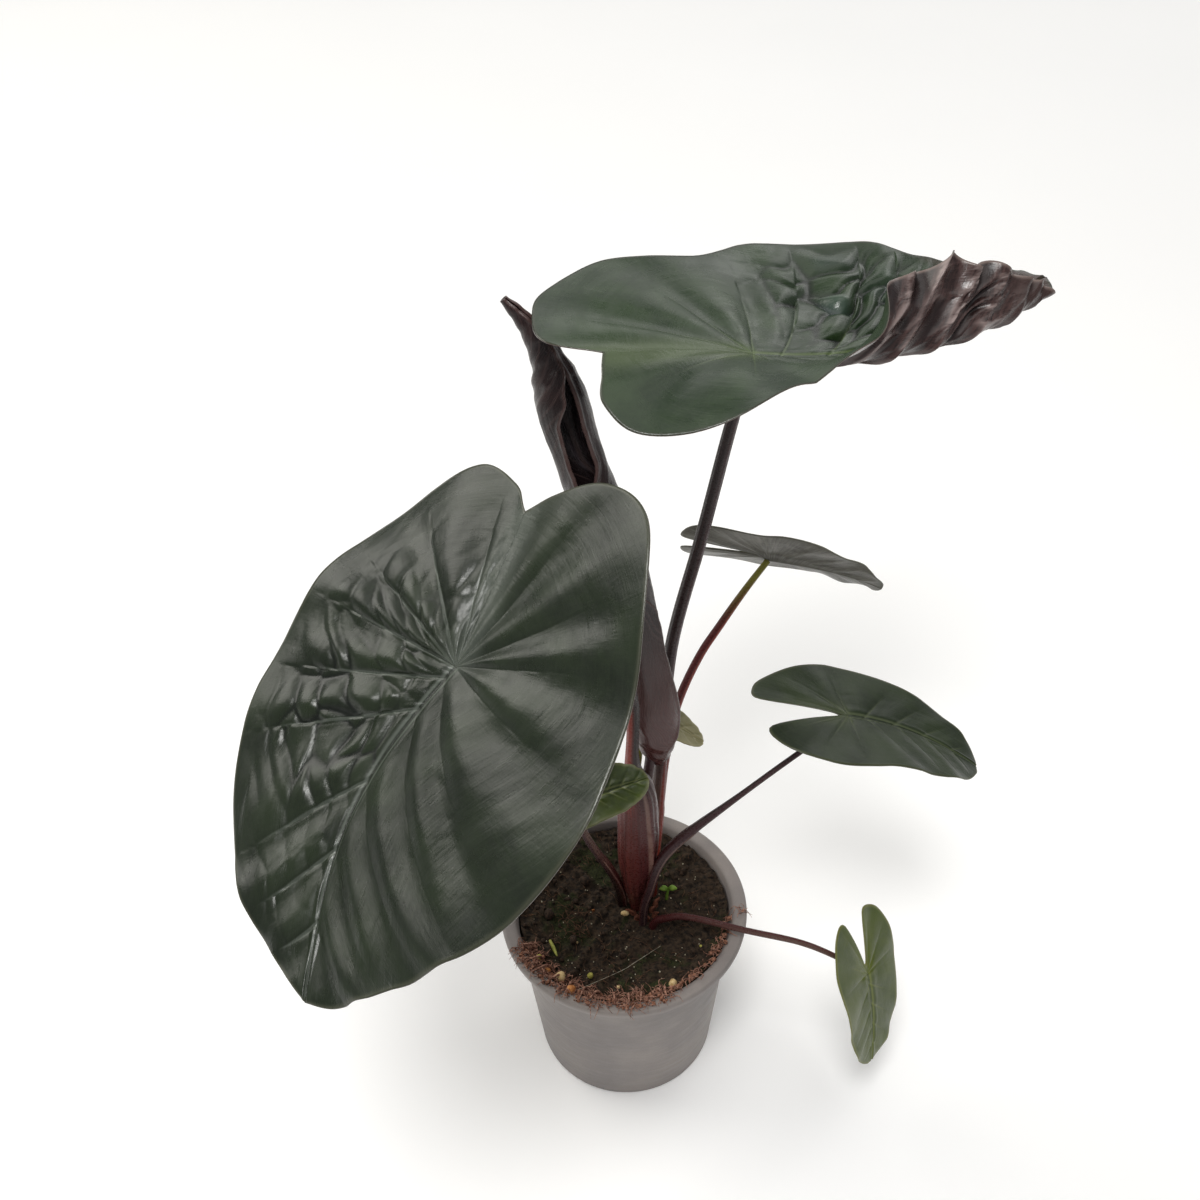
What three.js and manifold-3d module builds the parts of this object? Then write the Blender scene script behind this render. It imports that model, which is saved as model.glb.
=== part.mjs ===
// Potted alocasia with eight leaves on their stalks, soil and a turned-over nursery pot.
// Millimetres, +Z up. The origin is the middle of the pot's flat base, on the surface it stands on.
// -Y is the front, where the longest leaf comes forward, and +X is the right.
import * as THREE from 'three';
import { mergeVertices } from 'three/addons/utils/BufferGeometryUtils.js';
import Module from 'manifold-3d';

const wasm = await Module();
wasm.setup();

// Driving dimensions of the pot
const RIM_RADIUS = 60;
const POT_HEIGHT = 98.7;
const BASE_RADIUS = 44.7;
const WALL_TOP_RADIUS = 52.8;
const WALL = 1.1;
const FLOOR = 2.4;
const LIP_DROP = 4;
const DRAIN_RADIUS = 3.5;
const DRAIN_RING = 28;
const DRAIN_COUNT = 6;
const POT_SIDES = 48;

// Driving dimensions of the soil
const CLEARANCE = 0.35;
const SOIL_LEVEL = 92.5;
const SOIL_RINGS = 9;
const SOIL_SECTORS = 36;
const PERLITE_COUNT = 14;
const FRINGE_COUNT = 12;

// Driving dimensions of the plant
const BLADE = 0.9;
const STALK_SIDES = 8;
const SOCKET_DEPTH = 2.6;
const STALK_FOOT = 74;
const SLOPE_STEPS = 16;

// Half outlines, as shares of the leaf's length and width: midrib tip first, notch last
const FRONT_LEFT_HALF = [
  [1, 0], [0.975, 0.16], [0.84, 0.46], [0.6, 0.81], [0.29, 1], [-0.02, 0.97],
  [-0.48, 0.89], [-0.9, 0.73], [-1.02, 0.43], [-0.9, 0.16],
];
const FRONT_RIGHT_HALF = [
  [1, 0], [0.955, 0.16], [0.85, 0.47], [0.61, 0.81], [0.28, 0.97], [-0.02, 0.96],
  [-0.46, 0.85], [-0.78, 0.63], [-0.95, 0.4], [-0.91, 0.16],
];
const UPPER_LEFT_HALF = [
  [1, 0], [0.95, 0.16], [0.82, 0.45], [0.65, 0.86], [0.3, 1.06], [-0.02, 0.95],
  [-0.5, 0.94], [-0.87, 0.71], [-1.02, 0.43], [-1.04, 0.19],
];
const UPPER_RIGHT_HALF = [
  [1, 0], [0.95, 0.16], [0.82, 0.45], [0.55, 0.73], [0.18, 0.63], [-0.02, 0.74],
  [-0.43, 0.8], [-0.78, 0.64], [-0.9, 0.38], [-0.85, 0.15],
];
const NARROW = [
  [1, 0], [0.985, 0.2], [0.86, 0.52], [0.55, 0.82], [0.15, 0.97], [-0.1, 1],
  [-0.5, 0.95], [-0.86, 0.74], [-1, 0.44], [-0.92, 0.26], [-0.5, 0.125], [-0.2, 0.045],
];

// Main side veins of each half, from the tip to the notch: the shares of the midrib's length where
// they start, and the shares of the way round the margin where they end
const FRONT_STARTS = [1, 0.8, 0.6, 0.39, 0.15, 0.04, 0, 0, 0, 0, 0];
const FRONT_LEFT_ENDS = [0, 0.12, 0.175, 0.22, 0.26, 0.32, 0.44, 0.55, 0.64, 0.8, 1];
const FRONT_RIGHT_ENDS = [0, 0.14, 0.2, 0.255, 0.36, 0.425, 0.51, 0.58, 0.685, 0.88, 1];
const UPPER_STARTS = [1, 0.84, 0.72, 0.6, 0.48, 0.35, 0.22, 0.08, 0, 0, 0, 0];
const UPPER_LEFT_ENDS = [0, 0.08, 0.135, 0.18, 0.225, 0.265, 0.31, 0.375, 0.45, 0.6, 0.79, 1];
const UPPER_RIGHT_ENDS = [0, 0.1, 0.145, 0.18, 0.22, 0.26, 0.295, 0.34, 0.425, 0.575, 0.775, 1];
const NARROW_STARTS = [1, 0.78, 0.56, 0.34, 0.12, 0, 0, 0, 0];
const NARROW_ENDS = [0, 0.125, 0.185, 0.23, 0.28, 0.41, 0.53, 0.66, 1];

// Each leaf: where its stalk joins, how it is turned, its outline and how it bends.
// Lengths are in mm, angles in degrees, bends in degrees for every 100 mm.
// Left is the side that is on the left when looking along the leaf from above. A fold lists the
// angles by which the right half turns up, at equal steps from the joint to the tip.
const LARGE_LEAF = {
  veinArch: 0.4, quilt: 1.6, wave: 1.5, rowsPerVein: 4, columns: 6, keel: 2.6, rib: 1,
};
const SMALL_LEAF = {
  leftOutline: NARROW, rightOutline: NARROW, veinStarts: NARROW_STARTS,
  leftEnds: NARROW_ENDS, rightEnds: NARROW_ENDS, veinArch: 0.2, notch: 3,
  quilt: 0.5, wave: 0.7, rowsPerVein: 2, columns: 4, keel: 2.2, rib: 0.5,
};
const LEAVES = {
  front_left: {
    ...LARGE_LEAF, leftOutline: FRONT_LEFT_HALF, rightOutline: FRONT_RIGHT_HALF,
    veinStarts: FRONT_STARTS, leftEnds: FRONT_LEFT_ENDS, rightEnds: FRONT_RIGHT_ENDS,
    at: [-56.8, -58.6, 317.7], heading: -123.9, pitch: 34.9, roll: 9.8,
    length: 121, lobes: 74.8, half: 75.7, notch: 59, bend: 0.5, lobeBend: -11.3, sweep: 3.9,
    leftLift: 5.7, rightLift: 11.1, leftLobeLift: 12.2, rightLobeLift: -6.6,
    leftCup: -10.1, rightCup: -9.3, bow: -14.1, colour: 0x3d4a3a,
  },
  upper_right: {
    ...LARGE_LEAF, leftOutline: UPPER_LEFT_HALF, rightOutline: UPPER_RIGHT_HALF, columns: 8,
    veinStarts: UPPER_STARTS, leftEnds: UPPER_LEFT_ENDS, rightEnds: UPPER_RIGHT_ENDS,
    at: [51.3, 27.4, 385.8], heading: 20.3, pitch: 18.4, roll: 0,
    length: 153, lobes: 73.7, half: 67.1, rightWidth: 0.83, notch: 59.7,
    bend: -17.7, lobeBend: 15, sweep: 14, leftLift: 6.3, rightLift: 11.6,
    leftLobeLift: -3.4, rightLobeLift: -26.6, leftCup: 10.6, rightCup: 8.7,
    fold: [0, 21, 41, 79, 104, 116, 112, 107, 106, 116, 130], foldStart: 7.5, foldWidth: 8,
    tipBend: 90, tipFrom: 0.93, colour: 0x555c53,
  },
  back_right: {
    ...SMALL_LEAF, at: [68.4, 63.4, 263.5], heading: -9.8, pitch: 5, roll: -56.9,
    length: 51.9, lobes: 39.3, half: 21.1, bend: 31, lobeBend: -1.7, sweep: 7.4,
    leftLift: 7.5, rightLift: 5.1, leftLobeLift: 4.7, rightLobeLift: 11.1, colour: 0x7d8078,
  },
  right: {
    ...SMALL_LEAF, at: [102.1, 19.3, 205.8], heading: 10.9, pitch: 21.4, roll: -1.1,
    length: 71.1, lobes: 43.6, half: 34.2, leftWidth: 0.85, bend: 22.3, lobeBend: 13.2,
    sweep: -33.8, leftLift: 9.3, rightLift: 4.6, leftLobeLift: -6.8, rightLobeLift: 0.6,
    colour: 0x46503f,
  },
  low_right: {
    ...SMALL_LEAF, at: [114.7, -33.1, 83.5], heading: -60.1, pitch: 66.9, roll: -16.3,
    length: 51.2, lobes: 32.9, half: 23.9, notch: 4.8, leftWidth: 0.9, bend: 20.3,
    lobeBend: 20.3, sweep: -19.4, leftLift: 3.3, rightLift: 7.8, leftLobeLift: 3.5,
    rightLobeLift: 1.3, colour: 0x5c633f,
  },
  back: {
    ...SMALL_LEAF, at: [13.6, 51.3, 182], heading: -12.9, pitch: 31, roll: -1.6,
    length: 33.6, lobes: 15, half: 11.8, bend: 17.9, sweep: 1.4, leftLift: 6.2,
    rightLift: 6.5, colour: 0x7f7a5a,
  },
  under_front: {
    ...SMALL_LEAF, at: [-15.9, -28, 210.3], heading: 16.1, pitch: -9, roll: 20.8,
    length: 28.4, lobes: 20, half: 13.1, bend: 21.6, sweep: -3.9, leftLift: 8.2,
    rightLift: 10.5, colour: 0x394328,
  },
};

// The young leaf, still rolled into a scroll: its axis from the horn at the top to the lobes,
// and tables of [share of the length, value] for its outer radius and for its two margins.
// Margin angles run from the front through +X, in degrees. The turns lie a spacing apart.
const SCROLL = {
  axis: [
    [-38, 45, 402], [-28, 43, 390], [-20.4, 39, 372], [-14.6, 33, 349], [-6.1, 26, 324],
    [3.4, 21, 293], [9.2, 17, 258], [14.3, 14, 225], [18.2, 12, 192],
  ],
  radius: [
    [0, 1.6], [0.05, 2.9], [0.1, 4.1], [0.15, 5.9], [0.2, 7.8], [0.25, 9.8], [0.3, 11.3], [0.4, 10.8],
    [0.5, 11], [0.62, 11.5], [0.8, 12], [0.875, 12.8], [0.93, 11.8], [0.97, 9.5], [1, 6.5],
  ],
  inner: [[0, 62], [0.12, 58], [0.2, 36], [0.42, 34], [0.5, -20], [0.6, -60], [1, -40]],
  outer: [
    [0, 398], [0.15, 400], [0.22, 395], [0.28, 372], [0.34, 345], [0.42, 338], [0.52, 336],
    [0.6, 350], [0.7, 420], [0.9, 425], [1, 370],
  ],
  spacing: 2.3, rows: 28, columns: 18, colour: 0x4f4949,
};

// Each stalk: its route from the soil up to its leaf, and its radius along the route
const STALKS = {
  front_left: {
    route: [[7, 3.5, STALK_FOOT], [7, 3, 96], [6.5, 1, 118], [6.8, -0.5, 140], [7, -1, 160], [6.6, -1.5, 183],
      [5, -3, 206], [5, -6, 246], [-4, -16, 284], [-23, -32, 305], [-41, -47, 312]],
    radii: [3, 4, 6.9, 9, 9.2, 8, 3.2, 2.8, 2.7, 2.6, 2.5, 2.2],
    sides: 12, colour: 0x5b3f3c,
  },
  upper_right: {
    route: [[13.5, 10, STALK_FOOT], [14, 11, 110], [16.5, 15, 140], [18.5, 21, 170], [20.3, 29, 196],
      [24.5, 34, 242], [35, 32, 298], [44.8, 29, 355]],
    radii: [3, 3.2, 3.2, 3.1, 3, 2.9, 2.7, 2.5, 2.2], colour: 0x2b2422,
  },
  rolled: {
    route: [[8.5, 2.5, 160], [11, 4.5, 177], [13.5, 8, 194], [16, 12, 215]],
    radii: [2.6, 2.6, 2.5, 2.4, 2.2], colour: 0x4a3c38,
  },
  back_right: {
    route: [[12.5, 17.5, STALK_FOOT], [13.5, 18.5, 112], [18, 22.5, 138], [21, 28.5, 168], [25, 35, 190],
      [30, 40, 205], [38, 46, 221], [47, 52, 233], [58, 58, 248]],
    radii: [2.2, 2.2, 2.2, 2.2, 2.1, 2, 1.9, 1.8, 1.6, 1.4], colour: 0x7a5248,
  },
  right: {
    route: [[9, -6.5, STALK_FOOT], [9.5, -6.8, 104], [12.6, -7, 120], [16.2, -5.7, 135], [22.1, -3.4, 145],
      [33.7, 0.4, 154.7], [53.8, 6.5, 168.6], [72.3, 11.5, 182.4]],
    radii: [2, 2, 2.1, 2.3, 2.5, 2.2, 1.4, 1.3, 1.3], colour: 0x3a3230,
  },
  low_right: {
    route: [[13.3, -9, STALK_FOOT], [14, -9.6, 95], [20, -12.2, 103.5], [31, -15, 107.5], [57, -22, 105.5],
      [82, -29, 104.5], [100, -33.5, 97.5]],
    radii: [2, 2, 1.8, 1.6, 1.5, 1.4, 1.3, 1.2], colour: 0x7d5a50,
  },
  back: {
    route: [[3, 15.5, STALK_FOOT], [3, 18, 112], [6, 28, 140], [10, 40, 164]],
    radii: [1.8, 1.8, 1.6, 1.4, 1.2], colour: 0x6d6248,
  },
  under_front: {
    route: [[0.3, 5, STALK_FOOT], [-1.2, 3.5, 104], [-6.5, -6, 135], [-14, -19.5, 170], [-18, -28, 196]],
    radii: [2.3, 2.4, 2.2, 1.8, 1.5, 1.3], colour: 0x62534a,
  },
};

// The seedling that stands beside the stalks
const SEEDLING = { at: [21.5, 7], stem: 0.8, height: 9, leaf: 4.2 };

// Seeded random numbers from 0 to 1
function seededRandom(seed) {
  let state = seed;
  return () => {
    state = (Math.imul(state, 1664525) + 1013904223) >>> 0;
    return state / 4294967296;
  };
}

const rad = THREE.MathUtils.degToRad;
const clamp = THREE.MathUtils.clamp;
const smooth = THREE.MathUtils.smoothstep;

function vector(list) {
  return new THREE.Vector3(...list);
}

// A point at share t of a smooth line through the listed points
function splineAt(points, t) {
  const last = points.length - 1;
  const start = Math.min(Math.floor(t * last), last - 1);
  const f = t * last - start;
  const mirror = (a, b) => a.map((value, k) => 2 * value - b[k]);
  const before = start > 0 ? points[start - 1] : mirror(points[0], points[1]);
  const after = start + 2 <= last ? points[start + 2] : mirror(points[last], points[last - 1]);
  return points[start].map((b, k) => {
    const a = before[k];
    const c = points[start + 1][k];
    const d = after[k];
    return 0.5 * (2 * b + (c - a) * f + (2 * a - 5 * b + 4 * c - d) * f * f + (3 * b - a - 3 * c + d) * f ** 3);
  });
}

// A value between the listed [place, value] pairs
function tableAt(table, place) {
  const next = table.findIndex(([x]) => x >= place);
  if (next <= 0) {
    return next === 0 ? table[0][1] : table[table.length - 1][1];
  }
  const [x0, y0] = table[next - 1];
  const [x1, y1] = table[next];
  return y0 + (y1 - y0) * smooth(place, x0, x1);
}

// A solid from a closed geometry, with its shared vertices merged
function solidOf(geometry) {
  const plain = new THREE.BufferGeometry();
  plain.setAttribute('position', geometry.getAttribute('position').clone());
  plain.setIndex(geometry.getIndex());
  const merged = mergeVertices(plain, 1e-4);
  const corners = merged.getIndex().array;
  const kept = [];
  for (let i = 0; i < corners.length; i += 3) {
    const [a, b, c] = [corners[i], corners[i + 1], corners[i + 2]];
    if (a !== b && b !== c && c !== a) {
      kept.push(a, b, c);
    }
  }
  return new wasm.Manifold(new wasm.Mesh({
    numProp: 3,
    vertProperties: new Float32Array(merged.getAttribute('position').array),
    triVerts: new Uint32Array(kept),
  }));
}

function geometryOf(points, triangles) {
  const geometry = new THREE.BufferGeometry();
  const flat = points.flatMap((point) => [point.x, point.y, point.z]);
  geometry.setAttribute('position', new THREE.Float32BufferAttribute(flat, 3));
  geometry.setIndex(triangles);
  return geometry;
}

// The main body of a cut solid, without loose scraps
function largestBody(solid) {
  return solid.decompose().reduce((best, body) => (body.volume() > best.volume() ? body : best));
}

function meshOf(name, solid, colour, roughness) {
  const made = solid.getMesh();
  const geometry = new THREE.BufferGeometry();
  geometry.setAttribute('position', new THREE.BufferAttribute(made.vertProperties, 3));
  geometry.setIndex(new THREE.BufferAttribute(made.triVerts, 1));
  const material = new THREE.MeshStandardMaterial({ color: colour, roughness, metalness: 0 });
  const mesh = new THREE.Mesh(geometry, material);
  mesh.name = name;
  return mesh;
}

// A solid sheet between two grids of points, with a rim all round it
function sheetSolid(upper, lower) {
  const rows = upper.length;
  const columns = upper[0].length;
  const count = rows * columns;
  const points = [...upper.flat(), ...lower.flat()];
  const at = (row, column) => row * columns + column;
  const triangles = [];
  const quad = (a, b, c, d) => triangles.push(a, b, c, a, c, d);
  for (let row = 0; row < rows - 1; row++) {
    for (let column = 0; column < columns - 1; column++) {
      const corners = [at(row, column), at(row + 1, column), at(row + 1, column + 1), at(row, column + 1)];
      quad(...corners);
      const [a, b, c, d] = corners.map((corner) => corner + count);
      triangles.push(a, c, b, a, d, c);
    }
  }
  const edge = [];
  for (let row = 0; row < rows; row++) edge.push(at(row, 0));
  for (let column = 1; column < columns; column++) edge.push(at(rows - 1, column));
  for (let row = rows - 2; row >= 0; row--) edge.push(at(row, columns - 1));
  for (let column = columns - 2; column > 0; column--) edge.push(at(0, column));
  edge.forEach((a, k) => {
    const b = edge[(k + 1) % edge.length];
    quad(b, a, a + count, b + count);
  });
  return solidOf(geometryOf(points, triangles));
}

// A tapering solid tube along a smooth route, with rounded ends
function tubeSolid(route, radii, sides, grow = 0) {
  const steps = (route.length - 1) * 2;
  const rings = [];
  let across = new THREE.Vector3(1, 0, 0);
  for (let step = 0; step <= steps; step++) {
    const t = step / steps;
    const along = vector(splineAt(route, Math.min(1, t + 0.01)))
      .sub(vector(splineAt(route, Math.max(0, t - 0.01)))).normalize();
    across.addScaledVector(along, -across.dot(along)).normalize();
    const side = along.clone().cross(across);
    const [radius] = splineAt(radii.map((value) => [value]), t);
    rings.push({ middle: vector(splineAt(route, t)), along, across: across.clone(), side, radius: radius + grow });
  }
  const first = rings[0];
  const last = rings[steps];
  const points = [];
  for (const ring of rings) {
    for (let k = 0; k < sides; k++) {
      const angle = (k / sides) * 2 * Math.PI;
      points.push(ring.middle.clone()
        .addScaledVector(ring.across, ring.radius * Math.cos(angle))
        .addScaledVector(ring.side, ring.radius * Math.sin(angle)));
    }
  }
  const bottom = points.push(first.middle.clone().addScaledVector(first.along, -0.4 * first.radius - grow)) - 1;
  const top = points.push(last.middle.clone().addScaledVector(last.along, 0.5 * last.radius + grow)) - 1;
  const triangles = [];
  for (let k = 0; k < sides; k++) {
    const next = (k + 1) % sides;
    for (let step = 0; step < steps; step++) {
      const low = step * sides;
      const high = low + sides;
      triangles.push(low + k, low + next, high + next, low + k, high + next, high + k);
    }
    triangles.push(bottom, next, k);
    triangles.push(top, steps * sides + k, steps * sides + next);
  }
  return solidOf(geometryOf(points, triangles));
}

// The midrib as a bent line through the leaf's joint, with its direction at each place
function midribOf(leaf) {
  const steps = 240;
  const from = -1.1 * leaf.lobes;
  const pitch = (1.1 * leaf.length - from) / steps;
  const line = [];
  const middle = new THREE.Vector3();
  for (let step = 0; step <= steps; step++) {
    const p = from + step * pitch;
    const tipBend = (leaf.tipBend ?? 0) * Math.max(0, p - (leaf.tipFrom ?? 1) * leaf.length) / 100;
    const bend = rad((p > 0 ? leaf.bend : leaf.lobeBend ?? 0) * p / 100 + tipBend);
    const sweep = p > 0 ? rad((leaf.sweep ?? 0) * p / 100) : 0;
    const along = new THREE.Vector3(
      Math.cos(bend) * Math.cos(sweep), Math.cos(bend) * Math.sin(sweep), -Math.sin(bend));
    if (step > 0) {
      middle.addScaledVector(along, pitch / 2).addScaledVector(line[step - 1].along, pitch / 2);
    }
    line.push({ p, sweep, along, middle: middle.clone() });
  }
  const at = (p) => {
    const share = clamp((p - from) / pitch, 0, steps - 1e-6);
    const low = line[Math.floor(share)];
    const high = line[Math.floor(share) + 1];
    const f = share - Math.floor(share);
    return {
      middle: low.middle.clone().lerp(high.middle, f),
      along: low.along.clone().lerp(high.along, f).normalize(),
      sweep: THREE.MathUtils.lerp(low.sweep, high.sweep, f),
    };
  };
  const origin = at(0).middle;
  return (p) => {
    const place = at(p);
    place.middle.sub(origin);
    return place;
  };
}

// Gives a function from a flat place on the leaf (p along the midrib, q across it, on one side)
// to the bent blade: the point on its middle surface and the upward direction there
function bladeSurface(leaf) {
  const midrib = midribOf(leaf);
  const turn = new THREE.Matrix4().makeRotationFromEuler(
    new THREE.Euler(rad(leaf.roll), rad(leaf.pitch), rad(leaf.heading), 'ZYX'));
  const place = vector(leaf.at);
  return (p, q, side, shift = 0) => {
    const { middle, along, sweep } = midrib(p);
    const across = new THREE.Vector3(-Math.sin(sweep), Math.cos(sweep), 0);
    const up = along.clone().cross(across);
    const left = side > 0;
    const back = smooth(-p, 0, leaf.lobes);
    const lift = left ? leaf.leftLift : leaf.rightLift;
    const lobeLift = (left ? leaf.leftLobeLift : leaf.rightLobeLift) ?? lift;
    const curl = left || !leaf.fold
      ? 0
      : rad(splineAt(leaf.fold.map((angle) => [angle]), clamp(p / leaf.length, 0, 1))[0]);
    const cup = rad((left ? leaf.leftCup : leaf.rightCup) ?? 0) / 100;
    const start = rad(THREE.MathUtils.lerp(lift, lobeLift, back));
    const slopeAt = (reach) => start + cup * reach
      + (curl === 0 ? 0 : curl * smooth(reach, leaf.foldStart, leaf.foldStart + leaf.foldWidth));
    let out = 0;
    let rise = 0;
    for (let step = 0; step < SLOPE_STEPS; step++) {
      const slope = slopeAt(q * (step + 0.5) / SLOPE_STEPS);
      out += Math.cos(slope) * q / SLOPE_STEPS;
      rise += Math.sin(slope) * q / SLOPE_STEPS;
    }
    const point = middle.addScaledVector(across, side * out + shift).addScaledVector(up, rise);
    const lean = q > 0 ? slopeAt(q) : 0;
    const normal = across.clone().multiplyScalar(-side * Math.sin(lean)).addScaledVector(up, Math.cos(lean));
    return { point: point.applyMatrix4(turn).add(place), normal: normal.transformDirection(turn) };
  };
}

// A value between those of a list at whole places
function listAt(list, place) {
  const low = Math.min(Math.floor(place), list.length - 2);
  return THREE.MathUtils.lerp(list[low], list[low + 1], place - low);
}

// Rows of one half of the blade, from its tip to its notch. Each runs along or between veins,
// from the midrib or the joint to the margin.
function bladeRows(leaf, side) {
  const width = leaf.half * ((side > 0 ? leaf.leftWidth : leaf.rightWidth) ?? 1);
  const outline = side > 0 ? leaf.leftOutline : leaf.rightOutline;
  const ends = side > 0 ? leaf.leftEnds : leaf.rightEnds;
  const corners = outline.map(([p, q]) => [p * (p > 0 ? leaf.length : leaf.lobes), q * width]);
  corners.push([-leaf.notch, 0]);
  const count = (ends.length - 1) * leaf.rowsPerVein;
  const rows = [];
  for (let row = 0; row <= count; row++) {
    const vein = row / leaf.rowsPerVein;
    const [p, q] = splineAt(corners, listAt(ends, vein));
    const from = leaf.length * listAt(leaf.veinStarts, vein);
    rows.push({ vein, from, p, q: Math.max(q, 0), fade: clamp(Math.min(vein, ends.length - 1 - vein), 0, 1) });
  }
  return rows;
}

// One leaf blade: puckered between its veins, waved at its margin, and ribbed below
function bladeSolid(leaf) {
  const surface = bladeSurface(leaf);
  const halves = [1, -1].map((side) => {
    const upper = [];
    const lower = [];
    for (const row of bladeRows(leaf, side)) {
      const pucker = Math.abs(Math.sin(Math.PI * row.vein)) ** 0.7 - 0.5;
      const onVein = Math.abs(row.vein - Math.round(row.vein)) < 0.05 ? 1 : 0;
      const top = [];
      const bottom = [];
      for (let column = 0; column <= leaf.columns; column++) {
        const v = (column / leaf.columns) ** 1.2;
        const arch = leaf.veinArch * v * (1 - v) * Math.max(0, row.p - row.from);
        const p = THREE.MathUtils.lerp(row.from, row.p, v) + arch;
        const q = row.q * v;
        const bowed = (leaf.bow ?? 0) * Math.sin(Math.PI * clamp(p / leaf.length, 0, 1)) * (1 - v * v);
        const { point, normal } = surface(p, q, side, bowed);
        const raised = leaf.quilt * pucker * row.fade * Math.min(1, 6 * v) * (1 - v ** 6)
          + leaf.wave * row.fade * v ** 4 * Math.cos(Math.PI * row.vein + side);
        const keel = column === 0 ? leaf.keel * smooth(leaf.length - p, 0, 0.9 * leaf.length) : 0;
        const rib = column === 0 ? 0 : leaf.rib * onVein * row.fade * (1 - v);
        top.push(point.clone().addScaledVector(normal, raised + BLADE / 2));
        bottom.push(point.clone().addScaledVector(normal, raised - BLADE / 2 - Math.max(keel, rib)));
      }
      upper.push(top);
      lower.push(bottom);
    }
    return { upper, lower };
  });
  const join = (left, right) => left.map((row, k) => [...row].reverse().concat(right[k].slice(1)));
  return sheetSolid(join(halves[0].upper, halves[1].upper), join(halves[0].lower, halves[1].lower));
}

// The rolled young leaf: a sheet wound round its axis, open towards the front in the middle
function scrollSolid() {
  const upper = [];
  const lower = [];
  for (let row = 0; row <= SCROLL.rows; row++) {
    const t = row / SCROLL.rows;
    const middle = vector(splineAt(SCROLL.axis, t));
    const along = vector(splineAt(SCROLL.axis, Math.min(1, t + 0.01)))
      .sub(vector(splineAt(SCROLL.axis, Math.max(0, t - 0.01)))).normalize();
    const right = new THREE.Vector3(1, 0, 0).addScaledVector(along, -along.x).normalize();
    const front = right.clone().cross(along).negate();
    const inner = tableAt(SCROLL.inner, t);
    const outer = tableAt(SCROLL.outer, t);
    const spacing = SCROLL.spacing * smooth(t, 0, 0.2);
    const outside = [];
    const inside = [];
    for (let column = 0; column <= SCROLL.columns; column++) {
      const angle = THREE.MathUtils.lerp(inner, outer, column / SCROLL.columns);
      const radius = tableAt(SCROLL.radius, t) - spacing * (outer - angle) / 360;
      const away = front.clone().multiplyScalar(Math.cos(rad(angle))).addScaledVector(right, Math.sin(rad(angle)));
      outside.push(middle.clone().addScaledVector(away, radius));
      inside.push(middle.clone().addScaledVector(away, radius - BLADE));
    }
    upper.push(outside);
    lower.push(inside);
  }
  return sheetSolid(upper, lower);
}

// A stalk's route, ending just under its leaf's joint
function stalkRoute(name) {
  const stalk = STALKS[name];
  const leaf = LEAVES[name];
  if (!leaf) {
    return stalk.route;
  }
  const { point, normal } = bladeSurface(leaf)(0, 0, 1);
  const end = point.addScaledVector(normal, -SOCKET_DEPTH);
  return [...stalk.route, end.toArray()];
}

function stalkSolid(name, grow = 0) {
  const stalk = STALKS[name];
  const route = stalkRoute(name);
  return tubeSolid(route, stalk.radii.slice(0, route.length), stalk.sides ?? STALK_SIDES, grow);
}

function turnedSolid(profile, sides) {
  const outline = profile.map(([radius, height]) => new THREE.Vector2(radius, height));
  return solidOf(new THREE.LatheGeometry(outline, sides).rotateX(Math.PI / 2));
}

// The pot's inner radius at a height above its floor
function insideRadius(height) {
  return THREE.MathUtils.lerp(BASE_RADIUS, WALL_TOP_RADIUS, height / POT_HEIGHT) - WALL;
}

function potSolid() {
  const lipBottom = POT_HEIGHT - LIP_DROP;
  const profile = [
    [0, 0], [BASE_RADIUS - 1, 0], [BASE_RADIUS, 1.2],
    [WALL_TOP_RADIUS, POT_HEIGHT - 5], [WALL_TOP_RADIUS + 1.2, POT_HEIGHT - 2.2],
    [RIM_RADIUS - 2.4, POT_HEIGHT - 1.6], [RIM_RADIUS - 1.5, lipBottom],
    [RIM_RADIUS - 0.3, lipBottom], [RIM_RADIUS, POT_HEIGHT - 1.3], [RIM_RADIUS - 0.9, POT_HEIGHT],
    [RIM_RADIUS - 4.9, POT_HEIGHT], [WALL_TOP_RADIUS + 0.2, POT_HEIGHT - 1.2],
    [WALL_TOP_RADIUS - WALL, POT_HEIGHT - 4.6], [insideRadius(FLOOR), FLOOR], [0, FLOOR],
  ];
  let pot = turnedSolid(profile, POT_SIDES);
  for (let k = 0; k < DRAIN_COUNT; k++) {
    const angle = ((k + 0.5) / DRAIN_COUNT) * 2 * Math.PI;
    const hole = new THREE.CylinderGeometry(DRAIN_RADIUS, DRAIN_RADIUS, 4 * FLOOR, 12)
      .rotateX(Math.PI / 2)
      .translate(DRAIN_RING * Math.cos(angle), DRAIN_RING * Math.sin(angle), 0);
    pot = pot.subtract(solidOf(hole));
  }
  return pot;
}

// Height of the soil: lumps of earth and moss, and a rise towards the pot's wall
function soilHeight(x, y) {
  const lumps = 0.8 * Math.sin(0.31 * x + 1.1) * Math.cos(0.27 * y + 0.4)
    + 0.5 * Math.sin(0.62 * x - 0.48 * y + 2.1) + 0.35 * Math.cos(0.9 * y + 0.7 * x);
  return SOIL_LEVEL + lumps + 1.6 * smooth(Math.hypot(x, y), 30, 50);
}

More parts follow.
